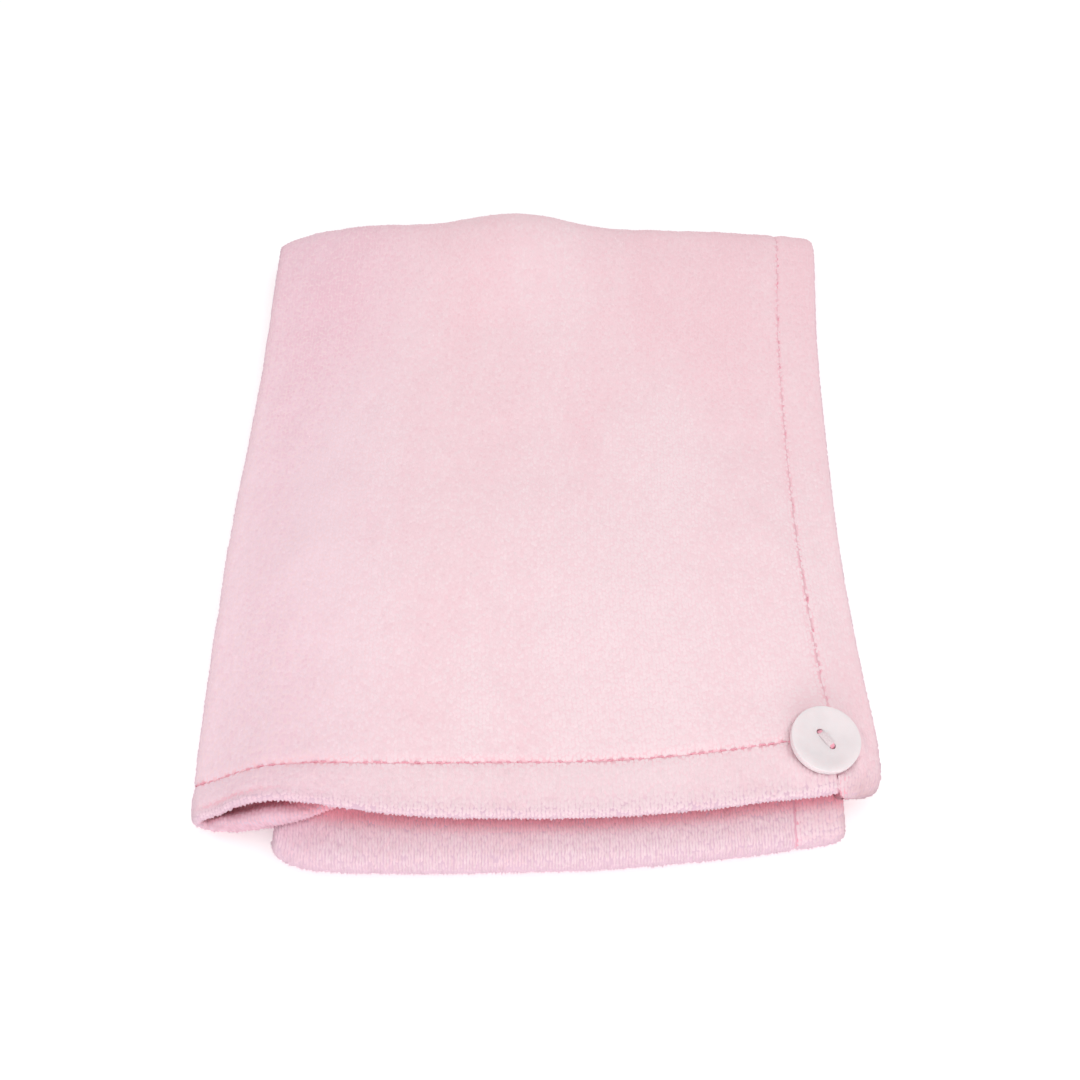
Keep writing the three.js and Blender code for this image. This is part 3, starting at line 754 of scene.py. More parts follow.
def loop_line(steps):
    root = place(np.array(float(LOOP_FROM_LEFT)), np.array(LENGTH), np.array(0.0))
    points = [(root[0] + x / MM, root[1] + TOUCH + y / MM, LOOP_LIFT) for x, y in LOOP_ROUTE]
    fine = rail(points, np.linspace(0, len(points) - 1, 1201))
    lengths = travelled_along(fine)
    even = np.linspace(0, lengths[-1], steps + 1)
    return np.stack([np.interp(even, lengths, axis) for axis in fine.T], axis=1), lengths[-1]


def tube(line, radii, up, sides):
    """A round tube along each of many lines of points. Gives its points and its faces."""
    onward = unit(np.gradient(line, axis=1))
    side = unit(np.cross(onward, up))
    over = np.cross(side, onward)
    angle = 2 * np.pi * np.arange(sides) / sides
    points = line[:, :, None] + (
        side[:, :, None] * np.cos(angle)[:, None] + over[:, :, None] * np.sin(angle)[:, None]
    ) * radii[..., None]
    tubes, steps = line.shape[:2]
    around = np.arange(sides)
    beside = (around + 1) % sides
    walls = [
        (r * sides + a, r * sides + b, (r + 1) * sides + b, (r + 1) * sides + a)
        for r in range(steps - 1) for a, b in zip(around.tolist(), beside.tolist())
    ]
    ends = [tuple(range(sides - 1, -1, -1)), tuple(range((steps - 1) * sides, steps * sides))]
    faces = []
    for k in range(tubes):
        first = k * steps * sides
        faces += [tuple(first + corner for corner in face) for face in walls + ends]
    return points.reshape(-1, 3), faces


def fastening_loop():
    steps, sides = 170, 20
    line, length = loop_line(steps)
    angle = 2 * np.pi * np.arange(sides) / sides
    travelled = length * np.arange(steps + 1) / steps
    twist = 2 * np.pi * travelled[:, None] / LOOP_PLIES["pitch"]
    plies = np.cos(3 * angle[None] + twist) * np.cos(3 * angle[None] - twist)
    radii = LOOP_RADIUS - LOOP_PLIES["sunk"] + LOOP_PLIES["high"] * plies
    points, faces = tube(line[None], radii[None], np.array([0.0, 0.0, 1.0]), sides)
    uv = on_grid(angle[None] * LOOP_RADIUS, travelled[:, None])
    piece = make_mesh("elastic_loop", points, outward(points, faces), elastic, uv=uv)
    fit(piece, stands_for="fastening_loop")


fastening_loop()


# The button lies on the mouth's right corner, tipped a little towards the mouth and the right

BUTTON = {
    "radius": 12.7, "thick": 3.2, "rim": 2.2, "slope": 1.6, "dish": 0.5, "rounding": 0.42,
    "hole": 1.25, "spread": 3.3, "turn": -65,
}
BUTTON_FROM_RIGHT = 22.4
BUTTON_ALONG = 17.7
BUTTON_ACROSS = float(width_at(BUTTON_ALONG)) - BUTTON_FROM_RIGHT
BUTTON_LEAN = {"near": 5, "right": 5}  # degrees out of the cloth's plane
BUTTON_DIAGONAL = 18  # right and away together, at the rim on that side
BUTTON_REACH = 8  # up or down, how far off cloth still counts as by the button


def button_seat():
    """Where the button's back is, and the ways right, away and up there, tipped as the button is."""
    across, along = np.array(BUTTON_ACROSS), np.array(float(BUTTON_ALONG))
    here = place(across, along, 0.0)
    up = unit(place(across, along, 1.0) - here)
    right = unit(mid_surface(across + 1, along) - mid_surface(across - 1, along))
    away = np.cross(up, right)
    lean = np.radians(BUTTON_LEAN["near"])
    away, up = away * np.cos(lean) + up * np.sin(lean), up * np.cos(lean) - away * np.sin(lean)
    lean = np.radians(BUTTON_LEAN["right"])
    up = up * np.cos(lean) + right * np.sin(lean)
    right = np.cross(away, up)
    distance, angle = np.meshgrid((0, 0.35, 0.7, 1), np.radians(np.arange(0, 360, 20)))
    x = across + distance * BUTTON["radius"] * np.cos(angle)
    y = along + distance * BUTTON["radius"] * np.sin(angle)
    half = np.where(x > width_at(y) - SEAM_WIDTH, SEAM_HALF_AT_HEM, CLOTH + half_gap(x, y) + lift(x, y))
    highest = np.max((place(x, y, half) - here) @ up)
    return here + up * (highest + TOUCH), right, away, up


BUTTON_BACK, BUTTON_RIGHT, BUTTON_AWAY, BUTTON_UP = button_seat()
CUSHION = {"high": (0.9, 2.6), "crest": 14.4, "wide": 2.4, "rises": (11, 13.2)}


def from_button(points):
    """How far points of the cloth are from the button's axis, and how far right and away of it."""
    offset = points - BUTTON_BACK
    near = np.abs(offset @ BUTTON_UP) < BUTTON_REACH
    right, away = offset @ BUTTON_RIGHT, offset @ BUTTON_AWAY
    return np.where(near, np.hypot(right, away), 99), right, away


def cushion(points):
    """The cloth swells round the button, most at its far right, as its thread draws it down."""
    distance, right, away = from_button(points)
    high = lerp(*CUSHION["high"], smooth(-0.2, 0.8, (right + away) / BUTTON_DIAGONAL))
    swell = groove(distance - CUSHION["crest"], CUSHION["wide"])
    return high * swell * smooth(*CUSHION["rises"], distance)


# The cloth of the bag behind the hem and inside the side's stitches

# Its ripples: how high, by how much v counts, how long, and the seed of their random run
RIPPLES = ((0.26, 0.5, 46, 11), (0.14, 0.5, 13, 12), (0.08, 1, 5, 13))


def undulation(u, v):
    """The cloth's soft unevenness, longer along the bag than across it, and the clumps of its pile."""
    return sum(high * waves(u, shrunk * v, length, seed) for high, shrunk, length, seed in RIPPLES)


def shown(v):
    """Where along the bag the cloth shows: it is pressed against itself elsewhere."""
    return 1 - smooth(FAR_FOLD_TO - 6, FAR_FOLD_TO + 8, v)


def open_ribs(v):
    """Where along the bag the under side's ribs open, up to the near fold."""
    return smooth(NEAR_FOLD_FROM - 26, NEAR_FOLD_FROM - 20, v)


STITCH_GROOVE = 0.55
STITCH_WIDE = 1.7
HIDDEN = 0.25  # the share of its unevenness that the cloth keeps where it is pressed against itself


def towel_body():
    rows = spaced(
        HEM_WIDTH - 0.1, 1.0, HEM_WIDTH + 8, 2.1, FAR_FOLD_FROM, 1.3, FAR_FOLD_TO, 6, NEAR_FOLD_FROM - 28,
        2.0, NEAR_FOLD_FROM, 1.2, NEAR_FOLD_TO, 5, TIP_STITCHES,
    )
    u, v = Columns.flat_across[None], rows[:, None]
    pulled = np.clip(
        groove(v - HEM_WIDTH, STITCH_WIDE) + groove(u, STITCH_WIDE) + groove(WHOLE - u, STITCH_WIDE)
        + groove(TIP_STITCHES - v, STITCH_WIDE), 0, 1,
    )
    uneven = undulation(u, v) * lerp(HIDDEN, 1, shown(v) * (Columns.upper > 0.4))
    uneven = uneven + cushion(cloth_face(rows, 0))
    outer = cloth_face(rows, NAP + STITCH_GROOVE * pulled - uneven * (1 - pulled))
    inner = cloth_face(rows[::4], CLOTH)[:, ::4]
    face = Face(outer, Columns.flat_across, rows, up_at=(len(rows) // 4, UPPER_COLUMNS // 2))

    points = np.concatenate([outer.reshape(-1, 3), inner.reshape(-1, 3)])
    fine = numbered(outer)
    coarse = numbered(inner, first=fine.size)
    faces = grid_faces(fine).tolist() + grid_faces(coarse)[:, ::-1].tolist()
    for edge, back, way in (
        (fine[0], coarse[0], -1), (fine[-1], coarse[-1], 1),
        (fine[:, 0], coarse[:, 0], 1), (fine[:, -1], coarse[:, -1], -1),
    ):
        faces += [corners[::way] for corners in joining(edge.tolist(), back.tolist())]
    uv = np.concatenate([on_grid(u, v), on_grid(u[:, ::4], v[::4])])
    under_pile = (uv[:, 1] < FAR_FOLD_TO) & (uv[:, 0] < BEND_END)
    under_pile |= (uv[:, 1] > UNDER_PILE[0]) & (uv[:, 1] < UNDER_PILE[1])
    inside = np.arange(len(points)) >= fine.size
    drawn_in = np.concatenate([pulled.ravel(), np.zeros(coarse.size)])
    # painted shade: strong pink on the inner faces and half of it in the stitches' grooves, mauve where the
    # under side's ribs open
    marks = {
        "covered": under_pile & ~inside, "painted_shut_in_shade": np.maximum(inside, 0.5 * drawn_in),
        "ribbed": open_ribs(uv[:, 1]),
    }
    return make_mesh("towel_cloth", points, outward(points, faces), ground, uv=uv, marks=marks), face


# The hem round the mouth: the cloth turned in, with a round lip

LIP = 2.6
HEM_PLUMP = 0.35
# What its lips do, how much, and the places across the mouth and along the bag where that starts and ends
LIP_ROLL = {"most": 4.4, "across": (-124, -112, -98, -80), "along": (3, 12)}
LIP_DROOP = {"most": np.array([0, -1.2, -0.5]), "across": (78, 104), "along": (2, 14)}
CREASE = {"most": 0.9, "across": (-127, -118, -104, -88), "along": HEM_WIDTH - 6.2, "wide": 1.5}


def lip_roll(x, along, upper):
    """How far the lower lip rolls up where the lips part."""
    share = between(*LIP_ROLL["across"], x) * (1 - smooth(*LIP_ROLL["along"], along))
    return LIP_ROLL["most"] * (1 - upper) * share


def lip_droop(x, along, upper):
    """How far the upper lip hangs forward and down beside the sewn edge."""
    share = upper * smooth(*LIP_DROOP["across"], x) * (1 - smooth(*LIP_DROOP["along"], along))
    return share[..., None] * LIP_DROOP["most"]


def crease(x, v):
    """The crease of the upper lip where it turns down to the left fold, from 0 to 1."""
    return groove(v - CREASE["along"], CREASE["wide"]) * between(*CREASE["across"], x)


def mouth_hem():
    outer_places = spaced(HEM_WIDTH, 1.0, HEM_WIDTH - 8, 1.5, LIP)
    round_lip = np.linspace(np.pi / 2, -np.pi / 2, 13)[1:-1]
    inner_places = spaced(LIP, 1.6, HEM_WIDTH)
    half = HEM / 2
    along = np.concatenate([outer_places, LIP - LIP * np.cos(round_lip), inner_places])
    inward = np.concatenate([
        np.zeros(len(outer_places)), half - half * np.sin(round_lip), np.full(len(inner_places), HEM),
    ])
    travelled = travelled_along(np.stack([along, inward], axis=1))
    along, inward = along[:, None], inward[:, None]
    outside = 1 - smooth(half * 0.6, half * 1.6, inward)
    u, v = Columns.flat_across[None], (HEM_WIDTH - travelled)[:, None]
    pulled = np.clip(groove(along - HEM_WIDTH, STITCH_WIDE) + groove(u, 1) + groove(u - WHOLE, 1), 0, 1)
    plain = cloth_face(along[:, 0], inward)
    x, upper = plain[..., 0], Columns.upper
    plump = HEM_PLUMP * np.sin(np.pi * np.clip(along / HEM_WIDTH, 0, 1)) + cushion(plain)
    raised = (undulation(u, v) + plump) * (1 - pulled) - STITCH_GROOVE * pulled
    raised = (raised - CREASE["most"] * crease(x, HEM_WIDTH - along) * upper) * outside
    rolled = lip_roll(x, along, upper) * (1 - outside)
    points = cloth_face(along[:, 0], inward - raised + lerp(NAP, -NAP, 1 - outside) + rolled)
    points += lip_droop(x, along, upper)
    face = Face(points, Columns.flat_across, travelled, up_at=(3, UPPER_COLUMNS // 2))
    grid = numbered(points)
    faces = closed_faces(grid, grid[0], grid[-1], grid[:, 0], grid[::-1, -1])
    flat = on_grid(u, v)
    points = points.reshape(-1, 3)
    covered = np.repeat(travelled < HEM_WIDTH + 8, grid.shape[1])
    # painted shade: strong pink on the hem's inner face inside the mouth and in its stitch groove, mauve at
    # the lip and on the lower panel
    inner_painted_shade = np.repeat(smooth(HEM_WIDTH + 3, HEM_WIDTH + 10, travelled), grid.shape[1])
    ribbed = np.repeat(smooth(12, 20, travelled), grid.shape[1])
    ribbed = np.maximum(ribbed, (flat[:, 0] > BEND_END) * 1.0)
    marks = {"covered": covered, "painted_shut_in_shade": np.maximum(inner_painted_shade, 0.5 * pulled.ravel()), "ribbed": ribbed}
    return make_mesh("hem_cloth", points, outward(points, faces), ground, uv=flat, marks=marks), face


# The sewn edge: down the right side from the mouth, round a corner, and across the tip

SEAM_INNER = SEAM_WIDTH + TOUCH + 0.15
SEAM_END = 2.6  # how far the sewn edge's end stands out of the mouth
SEAM_ROUND = 8  # how round that end is
SEAM_NOTCH = 2.4  # how far that end is drawn away from the hem
SEAM_END_THIN = 0.12  # how thick that end is left, as a share
SEAM_OWN = 700  # far enough off for the sewn edge to have ripples of its own
TIP_END = 2  # how near its left fold the tip is sewn


def side_seam():
    corner = 0.6
    turn_at = LENGTH - SEAM_INNER - corner
    rounding = np.linspace(0, np.pi / 2, 8)[:-1]
    straight = spaced(
        SEAM_ROUND - SEAM_END, 1.3, FAR_FOLD_FROM, 1.1, FAR_FOLD_TO, 4, NEAR_FOLD_FROM - 20,
        1.3, NEAR_FOLD_TO, 3, turn_at,
    )
    down = np.concatenate([SEAM_ROUND - SEAM_END - SEAM_ROUND * np.cos(rounding), straight])
    drawn = np.concatenate([1 - np.sin(rounding), np.zeros(len(straight))])
    starts = [np.stack([width_at(down) - SEAM_INNER + SEAM_NOTCH * drawn**2, down], axis=1)]
    ends = [np.stack([width_at(down) - SEAM_ROUND * drawn, down], axis=1)]
    angle = np.radians(np.linspace(0, 90, 19))[1:]
    for radius, kept in ((corner, starts), (corner + SEAM_INNER, ends)):
        along = turn_at + radius * np.sin(angle)
        turned = width_at(along) - corner - SEAM_INNER + radius * np.cos(angle)
        kept.append(np.stack([turned, along], axis=1))
    share = np.arange(1, 41) / 40
    for along, kept in ((LENGTH - SEAM_INNER, starts), (LENGTH, ends)):
        level = np.full_like(share, along)
        kept.append(np.stack([lerp(width_at(level) - corner - SEAM_INNER, TIP_END, share), level], axis=1))
    starts, ends = np.concatenate(starts), np.concatenate(ends)
    whole = np.ones(len(starts) - len(rounding))
    full = np.concatenate([np.maximum(np.sin(rounding), SEAM_END_THIN), whole])[:, None]

    # The section: out along the top, round the edge, and back along the bottom
    top = np.linspace(0, 0.8, 12)
    edge_angle = np.linspace(np.pi / 2, -np.pi / 2, 13)[1:-1]
    out = np.concatenate([top, 0.8 + 0.2 * np.cos(edge_angle), top[::-1]])
    rise = np.concatenate([np.ones(12), np.sin(edge_angle), -np.ones(12)])
    at = starts[:, None] + (ends - starts)[:, None] * out[None, :, None]
    across, along = at[..., 0], at[..., 1]
    section_u = travelled_along(np.stack([out * SEAM_INNER, rise * REST], axis=1))
    half = lerp(SEAM_HALF_AT_HEM, REST, smooth(4, HEM_WIDTH + HEM_FADES, along))
    thick = full * np.maximum(half * (1 - 0.4 * smooth(0, 1, out)), REST)
    steps = [
        np.diff(travelled_along(place(across[:, 6], along[:, 6], side * thick[:, 6]))) for side in (1, -1)
    ]
    travelled = np.concatenate([[0], np.cumsum(np.maximum(*steps))])
    travelled -= travelled[len(rounding)]
    u, v = section_u[None], travelled[:, None]
    pulled = groove(out * SEAM_INNER, STITCH_WIDE)[None] * smooth(0, HEM_WIDTH, along)
    pulled = np.clip(pulled + 0.4 * groove(out * SEAM_INNER, 0.8), 0, 1)
    seen = np.where(rise > -0.9, shown(along), 0)
    uneven = undulation(u + SEAM_OWN, v) * lerp(HIDDEN, 1, seen)
    uneven = uneven + cushion(place(across, along, rise * thick)) * (rise > 0)
    depth = (NAP + STITCH_GROOVE * pulled - uneven * (1 - pulled)) * full
    points = place(across, along, rise * np.maximum(thick - depth, 0.3))
    face = Face(points, section_u, travelled, up_at=(len(down) // 3, 5))
    grid = numbered(points)
    faces = closed_faces(grid, grid[:, 0], grid[:, -1], grid[0, ::-1], grid[-1])
    flat = on_grid(u, v)
    points = points.reshape(-1, 3)
    covered = (along < FAR_FOLD_TO) & (u < section_u[-1] / 2 + 3)
    covered = (covered | (along > UNDER_PILE[0]) & (along < UNDER_PILE[1])).ravel()
    # painted shade: strong pink in the notch beside the mouth's corner and in the stitch groove, mauve at
    # the sewn edge's end
    notch = ((along < 5) & (u < 3)) | ((along < 3) & (u > section_u[-1] - 8))
    ribbed = np.maximum(1 - smooth(2, 8, along), open_ribs(along)).ravel()
    marks = {"covered": covered, "painted_shut_in_shade": np.maximum(0.9 * notch, 0.5 * pulled).ravel(), "ribbed": ribbed}
    piece = make_mesh("seam_cloth", points, outward(points, faces), ground, uv=flat, marks=marks)
    return piece, face, lambda place_along: float(np.interp(place_along, down, travelled[: len(down)]))


towel_cloth, body_face = towel_body()
hem_cloth, hem_face = mouth_hem()
seam_cloth, seam_face, seam_v = side_seam()
for cloth_piece, node_name, slot_name in (
    (towel_cloth, "towel_body", "plush_knit"),
    (hem_cloth, "mouth_hem", "hem_knit"),
    (seam_cloth, "side_seam", "hem_knit"),
):
    fit(cloth_piece, stands_for=node_name)


# The pile: a tuft for each loop of the knit, on every face that shows

UPPER_LIP = hem_face.points[np.argmin(np.abs(hem_face.v - (HEM_WIDTH + 3))), :UPPER_COLUMNS]


def shade_under_lip(points, u, v):
    """How much painted shade points get where they are shut in below the mouth's upper lip, from 0 to 1."""
    lip_y = np.interp(-points[:, 0], -UPPER_LIP[:, 0], UPPER_LIP[:, 1])
    return 0.9 * smooth(-4.5, 2.5, points[:, 1] - lip_y)


def shade_in_mouth(points, u, v):
    """The same inside the mouth, on the lower lip and in the upper lip's crease."""
    lower = smooth(UPPER_END + 5, UPPER_END + 20, u)
    inner = 0.9 * smooth(HEM_WIDTH + lerp(1, 4, lower), HEM_WIDTH + lerp(6, 12, lower), v)
    lip = 0.3 * lower * smooth(12, 18, v)
    creased = 0.5 * (1 - lower) * crease(points[:, 0], v)
    return np.maximum.reduce([shade_under_lip(points, u, v) * lower, inner, lip, creased])


def no_shade(points, u, v):
    return np.zeros(len(points))


# A tuft's measures where the cloth lies flat, and where its ribs are open
TUFT = {
    "wide": (1.05, 0.78), "long": (1.5, 1.85), "tall": (0.19, 0.8), "uneven": (0.12, 0.24),
    "off_rib": (0.12, 0.09), "off_loop": (0.22, 0.32), "twist": (0.3, 0.14), "foot": (-0.08, -0.06),
    "round_across": (0.2, 0.6), "round_onward": (0.2, 0.16), "pale": (0.75, 0.2),
}
TUFT_SIDES = 5
UNDER_BUTTON = 12  # no tufts this near to the button's axis
BY_BUTTON = {"tall": (0.35, 1.25), "crest": 13.2, "wide": 1.1, "lean": 1.1}  # tufts lean in over its rim


def tuft_places(face, across, along, ribs, dice):
    """The places of a patch's tufts on the unfolded cloth, and how open the ribs are there."""
    wales, courses = np.arange(*across, WALE), np.arange(*along, COURSE)
    u, v = np.meshgrid(wales, courses, indexing="ij")
    ribs = lerp(*ribs, (v - along[0]) / (along[1] - along[0]))
    v = v + np.where(np.arange(len(wales)) % 2, COURSE / 2, 0)[:, None] * (1 - ribs)
    u = (u + dice.normal(0, 1, u.shape) * lerp(*TUFT["off_rib"], ribs) * WALE).ravel()
    v = (v + dice.normal(0, 1, v.shape) * lerp(*TUFT["off_loop"], ribs) * COURSE).ravel()
    distance = from_button(face.at(u, v)[0])[0]
    kept = (u >= across[0]) & (u <= across[1]) & (v >= along[0]) & (v <= along[1])
    kept &= distance > UNDER_BUTTON
    return u[kept], v[kept], ribs.ravel()[kept]


def tuft_foot(face, u, v, wide, long, twist, dice):
    """A ring of places on the cloth round each tuft, the ways out there, and how far each is turned."""
    turned = 2 * np.pi * np.arange(TUFT_SIDES) / TUFT_SIDES
    swing = turned[None] + dice.uniform(0, 2 * np.pi, (len(u), 1))
    across, onward = np.cos(swing), np.sin(swing)
    ring_u = u[:, None] + wide * across * np.cos(twist) - long * onward * np.sin(twist)
    ring_v = v[:, None] + wide * across * np.sin(twist) + long * onward * np.cos(twist)
    ring, out, _, _ = face.at(ring_u.ravel(), ring_v.ravel())
    return ring.reshape(*swing.shape, 3), out.reshape(*swing.shape, 3), across, onward


def tufts(face, across, along, ribs, shade, dice, seed):
    """The points of a patch's tufts, each a root, a foot and a tip, with their normals and marks."""
    u, v, ribs = tuft_places(face, across, along, ribs, dice)
    base, out, sideways, onward = face.at(u, v)
    distance, right, away = from_button(base)
    count, flat = len(u), (len(u), 1)
    tuft = {part: lerp(*values, ribs[:, None]) for part, values in TUFT.items()}
    clump = waves(u, v, 5, seed + 5)
    by_button = groove(distance - BY_BUTTON["crest"], BY_BUTTON["wide"])
    by_button = by_button * lerp(*BY_BUTTON["tall"], smooth(-0.3, 0.75, (right + away) / BUTTON_DIAGONAL))
    wide = tuft["wide"] * dice.uniform(0.9, 1.12, flat)
    long = tuft["long"] * dice.uniform(0.9, 1.15, flat)
    uneven = 1 + tuft["uneven"][:, 0] * (clump + dice.uniform(-1, 1, count))
    proud = 0.3 * smooth(0.8, 0.2, out[:, 2]) * dice.uniform(0.2, 1, count) * (1 - ribs)
    tall = tuft["tall"][:, 0] * uneven + by_button + proud
    lean = sideways * dice.normal(0, 0.22, flat) + onward * dice.normal(-0.12, 0.28, flat)
    inwards = -(BUTTON_RIGHT * right[:, None] + BUTTON_AWAY * away[:, None]) / distance[:, None]
    lean = lean + inwards * BY_BUTTON["lean"] * by_button[:, None]
    top = base + (out + lean) * tall[:, None]
    twist = dice.normal(0, 1, flat) * tuft["twist"]
    ring, ring_out, ring_across, ring_onward = tuft_foot(face, u, v, wide, long, twist, dice)

    # A tuft whose foot would wrap round an edge of the cloth is left out
    whole = np.min(np.sum(ring_out * out[:, None], axis=2), axis=1) > 0.1
    ring = ring + ring_out * tuft["foot"][..., None]
    ring_ways = (
        ring_out + sideways[:, None] * (tuft["round_across"] * ring_across)[..., None]
        + onward[:, None] * (tuft["round_onward"] * ring_onward)[..., None]
    )
    points = np.concatenate([(base - out * 0.6)[:, None], ring, top[:, None]], axis=1)
    points[..., 2] = np.maximum(points[..., 2], 0.05)
    ways = unit(np.concatenate([-out[:, None], ring_ways, (out + 0.3 * lean)[:, None]], axis=1))
    tone = np.clip(0.5 + 0.12 * clump + dice.normal(0, 0.26, count), 0, 1)
    # tufts in open ribs keep more of the root colour at their feet, and there that colour is painted mauve
    # shade
    foot = np.repeat(tuft["pale"], TUFT_SIDES, axis=1)
    tip = np.concatenate([np.zeros(flat), foot, np.ones(flat)], axis=1)
    # painted shade for tufts that face sideways or down, and more on the lower lip's hem
    painted_underside_shade = 0.75 * smooth(0.9, -0.1, out[:, 2]) * smooth(-0.85, -0.4, out[:, 2])
    painted_underside_shade = painted_underside_shade + 0.4 * ((u > BEND_END) & (face is hem_face))
    marks = {"tone": tone, "painted_shut_in_shade": shade(base, u, v), "ribbed": ribs, "painted_underside_shade": painted_underside_shade}
    marks = {mark: np.repeat(values[whole], TUFT_SIDES + 2) for mark, values in marks.items()}
    marks["tip"] = tip[whole].ravel()
    return dict(points=points[whole].reshape(-1, 3), normals=ways[whole].reshape(-1, 3), **marks)


def nap(name, seed, patches):
    """A tuft for each loop of the knit on patches of cloth, all in one mesh.

    A patch is a face, its reach across and along the unfolded cloth, how open its ribs are at its start and
    at its end, and how much painted shade it gets where it is shut in.
    """
    dice = np.random.default_rng(seed)
    made = [tufts(*patch, dice, seed) for patch in patches]
    marks = {mark: np.concatenate([part[mark] for part in made]) for mark in made[0]}
    points, normals = marks.pop("points"), marks.pop("normals")
    top = TUFT_SIDES + 1
    a = 1 + np.arange(TUFT_SIDES)
    b = 1 + (np.arange(TUFT_SIDES) + 1) % TUFT_SIDES
    below, above = np.stack([0 * a, b, a], axis=1), np.stack([0 * a + top, a, b], axis=1)
    tuft = np.array(outward(points[: top + 1], np.concatenate([below, above]).tolist()))
    first = (top + 1) * np.arange(len(points) // (top + 1))[:, None, None]
    faces = (first + tuft[None]).reshape(-1, 3).tolist()
    piece = make_mesh(name, points, faces, pile, marks=marks, normals=normals)
    fit(piece)
    return piece


CLEAR = 0.4  # the pile stops this far from a row of stitches
THIRD = (FAR_FOLD_TO - HEM_WIDTH) / 3
TOP_END = FAR_FOLD_TO + 3
UPPER_PANEL = (CLEAR, BEND_END)
UNDER_BEND = (UPPER_END - 4, BEND_END + 4)
MOUTH_INSIDE = (UPPER_END - 70, BEND_END + 76)
SECTION_U = seam_face.u[-1]
SEAM_EDGE = SECTION_U / 2 + 3
SEAM_RIM = (SECTION_U / 2 - 3, SEAM_EDGE)
SEAM_TOP_END = seam_v(FAR_FOLD_TO)
SEAM_UNDER = (seam_v(UNDER_PILE[0]), seam_v(UNDER_PILE[1]))
PILE = [
    ("body_nap_near", "plush_knit", [
        (body_face, UPPER_PANEL, (HEM_WIDTH + CLEAR, HEM_WIDTH + THIRD), (0, 0), no_shade),
    ]),
    ("body_nap_middle", "plush_knit", [
        (body_face, UPPER_PANEL, (HEM_WIDTH + THIRD, HEM_WIDTH + 2 * THIRD), (0, 0), no_shade),
    ]),
    ("body_nap_far", "plush_knit", [
        (body_face, UPPER_PANEL, (HEM_WIDTH + 2 * THIRD, TOP_END), (0, 0.3), no_shade),
    ]),
    ("under_nap", "plush_knit", [
        (body_face, UNDER_BEND, (TOP_END, UNDER_PILE[0]), (0.3, 0.3), no_shade),
        (body_face, (UNDER_BEND[0], WHOLE - CLEAR), UNDER_PILE, (0.7, 1), shade_under_lip),
        (body_face, (UNDER_BEND[0], BEND_END), (UNDER_PILE[1], TIP_STITCHES - CLEAR), (0.3, 0.3), no_shade),
    ]),
    ("hem_nap", "hem_knit", [
        (hem_face, (0, BEND_END), (CLEAR, 14), (0.1, 0.4), shade_in_mouth),
        (hem_face, (0, BEND_END), (14, HEM_WIDTH + 6), (0.4, 1), shade_in_mouth),
        (hem_face, (BEND_END, WHOLE), (10, HEM_WIDTH + 6), (1, 0.8), shade_in_mouth),
        (hem_face, MOUTH_INSIDE, (HEM_WIDTH + 6, hem_face.v[-1] - 1), (0.8, 0.8), shade_in_mouth),
    ]),
    ("seam_nap", "hem_knit", [
        (seam_face, (0, SEAM_EDGE), (seam_face.v[0], HEM_WIDTH - 3), (0.8, 0.1), no_shade),
        (seam_face, (CLEAR, SEAM_EDGE), (HEM_WIDTH - 3, SEAM_TOP_END), (0.1, 0.1), no_shade),
        (seam_face, (SEAM_EDGE, SECTION_U - 4), (seam_face.v[0], HEM_WIDTH), (0.3, 0.3), no_shade),
        (seam_face, SEAM_RIM, (SEAM_TOP_END, SEAM_UNDER[0]), (0.3, 0.3), no_shade),
        (seam_face, (SEAM_RIM[0], SECTION_U - CLEAR), SEAM_UNDER, (0.6, 0.9), shade_under_lip),
    ]),
]
pile_pieces = [nap(name, seed, patches) for seed, (name, slot, patches) in enumerate(PILE, 31)]


# The stitches along the hem, down the side and across the tip, half sunk in the pile

STITCH = {"pitch": 3.7, "reach": 2.7, "radius": (0.16, 0.27), "high": 0.12, "ends": -0.45}


def stitches():
    dice = np.random.default_rng(41)
    folded = (seam_v(NEAR_FOLD_FROM - 26), seam_v(NEAR_FOLD_TO + 6))
    # Each row of them: its face, its run across or along the cloth, its place, and how proud it stands
    runs = [
        (body_face, "across", (4, WHOLE - 3), HEM_WIDTH + 0.15, 0),
        (seam_face, "along", (HEM_WIDTH + 3, seam_face.v[-1] - 3), 0.5, -0.38),
        (seam_face, "along", folded, SECTION_U - 0.5, -0.1),
    ]
    share = np.array([-0.5, -0.28, 0.28, 0.5])
    height = np.array([STITCH["ends"], STITCH["high"], STITCH["high"], STITCH["ends"]])
    lines = []
    for face, way, (start, end), fixed, raised in runs:
        centres = np.arange(start, end, STITCH["pitch"])
        count, flat = len(centres), (len(centres), 1)
        centres = centres + dice.normal(0, 0.4, count)
        run = centres[:, None] + share[None] * STITCH["reach"] * dice.uniform(0.8, 1.15, flat)
        waver = fixed + dice.normal(0, 0.12, flat) + share[None] * dice.normal(0, 0.35, flat)
        u, v = (run, waver) if way == "across" else (waver, run)
        here, out, _, _ = face.at(u.ravel(), v.ravel())
        lift_by = raised + np.tile(height, count) + np.repeat(dice.normal(0, 0.16, count), 4)
        lines.append((here + out * lift_by[:, None]).reshape(-1, 4, 3))
    lines = np.concatenate(lines)
    thin, thick = STITCH["radius"]
    radii = np.tile([thin, thick, thick, thin], (len(lines), 1))
    points, faces = tube(lines, radii[..., None], np.array([0.3, 0.2, 1.0]), 5)
    piece = make_mesh("stitches", points, outward(points, faces), pink_thread)
    fit(piece)
    return piece


stitch_rows = stitches()


# The button: a round disc with a soft rim, a shallow dish and two holes

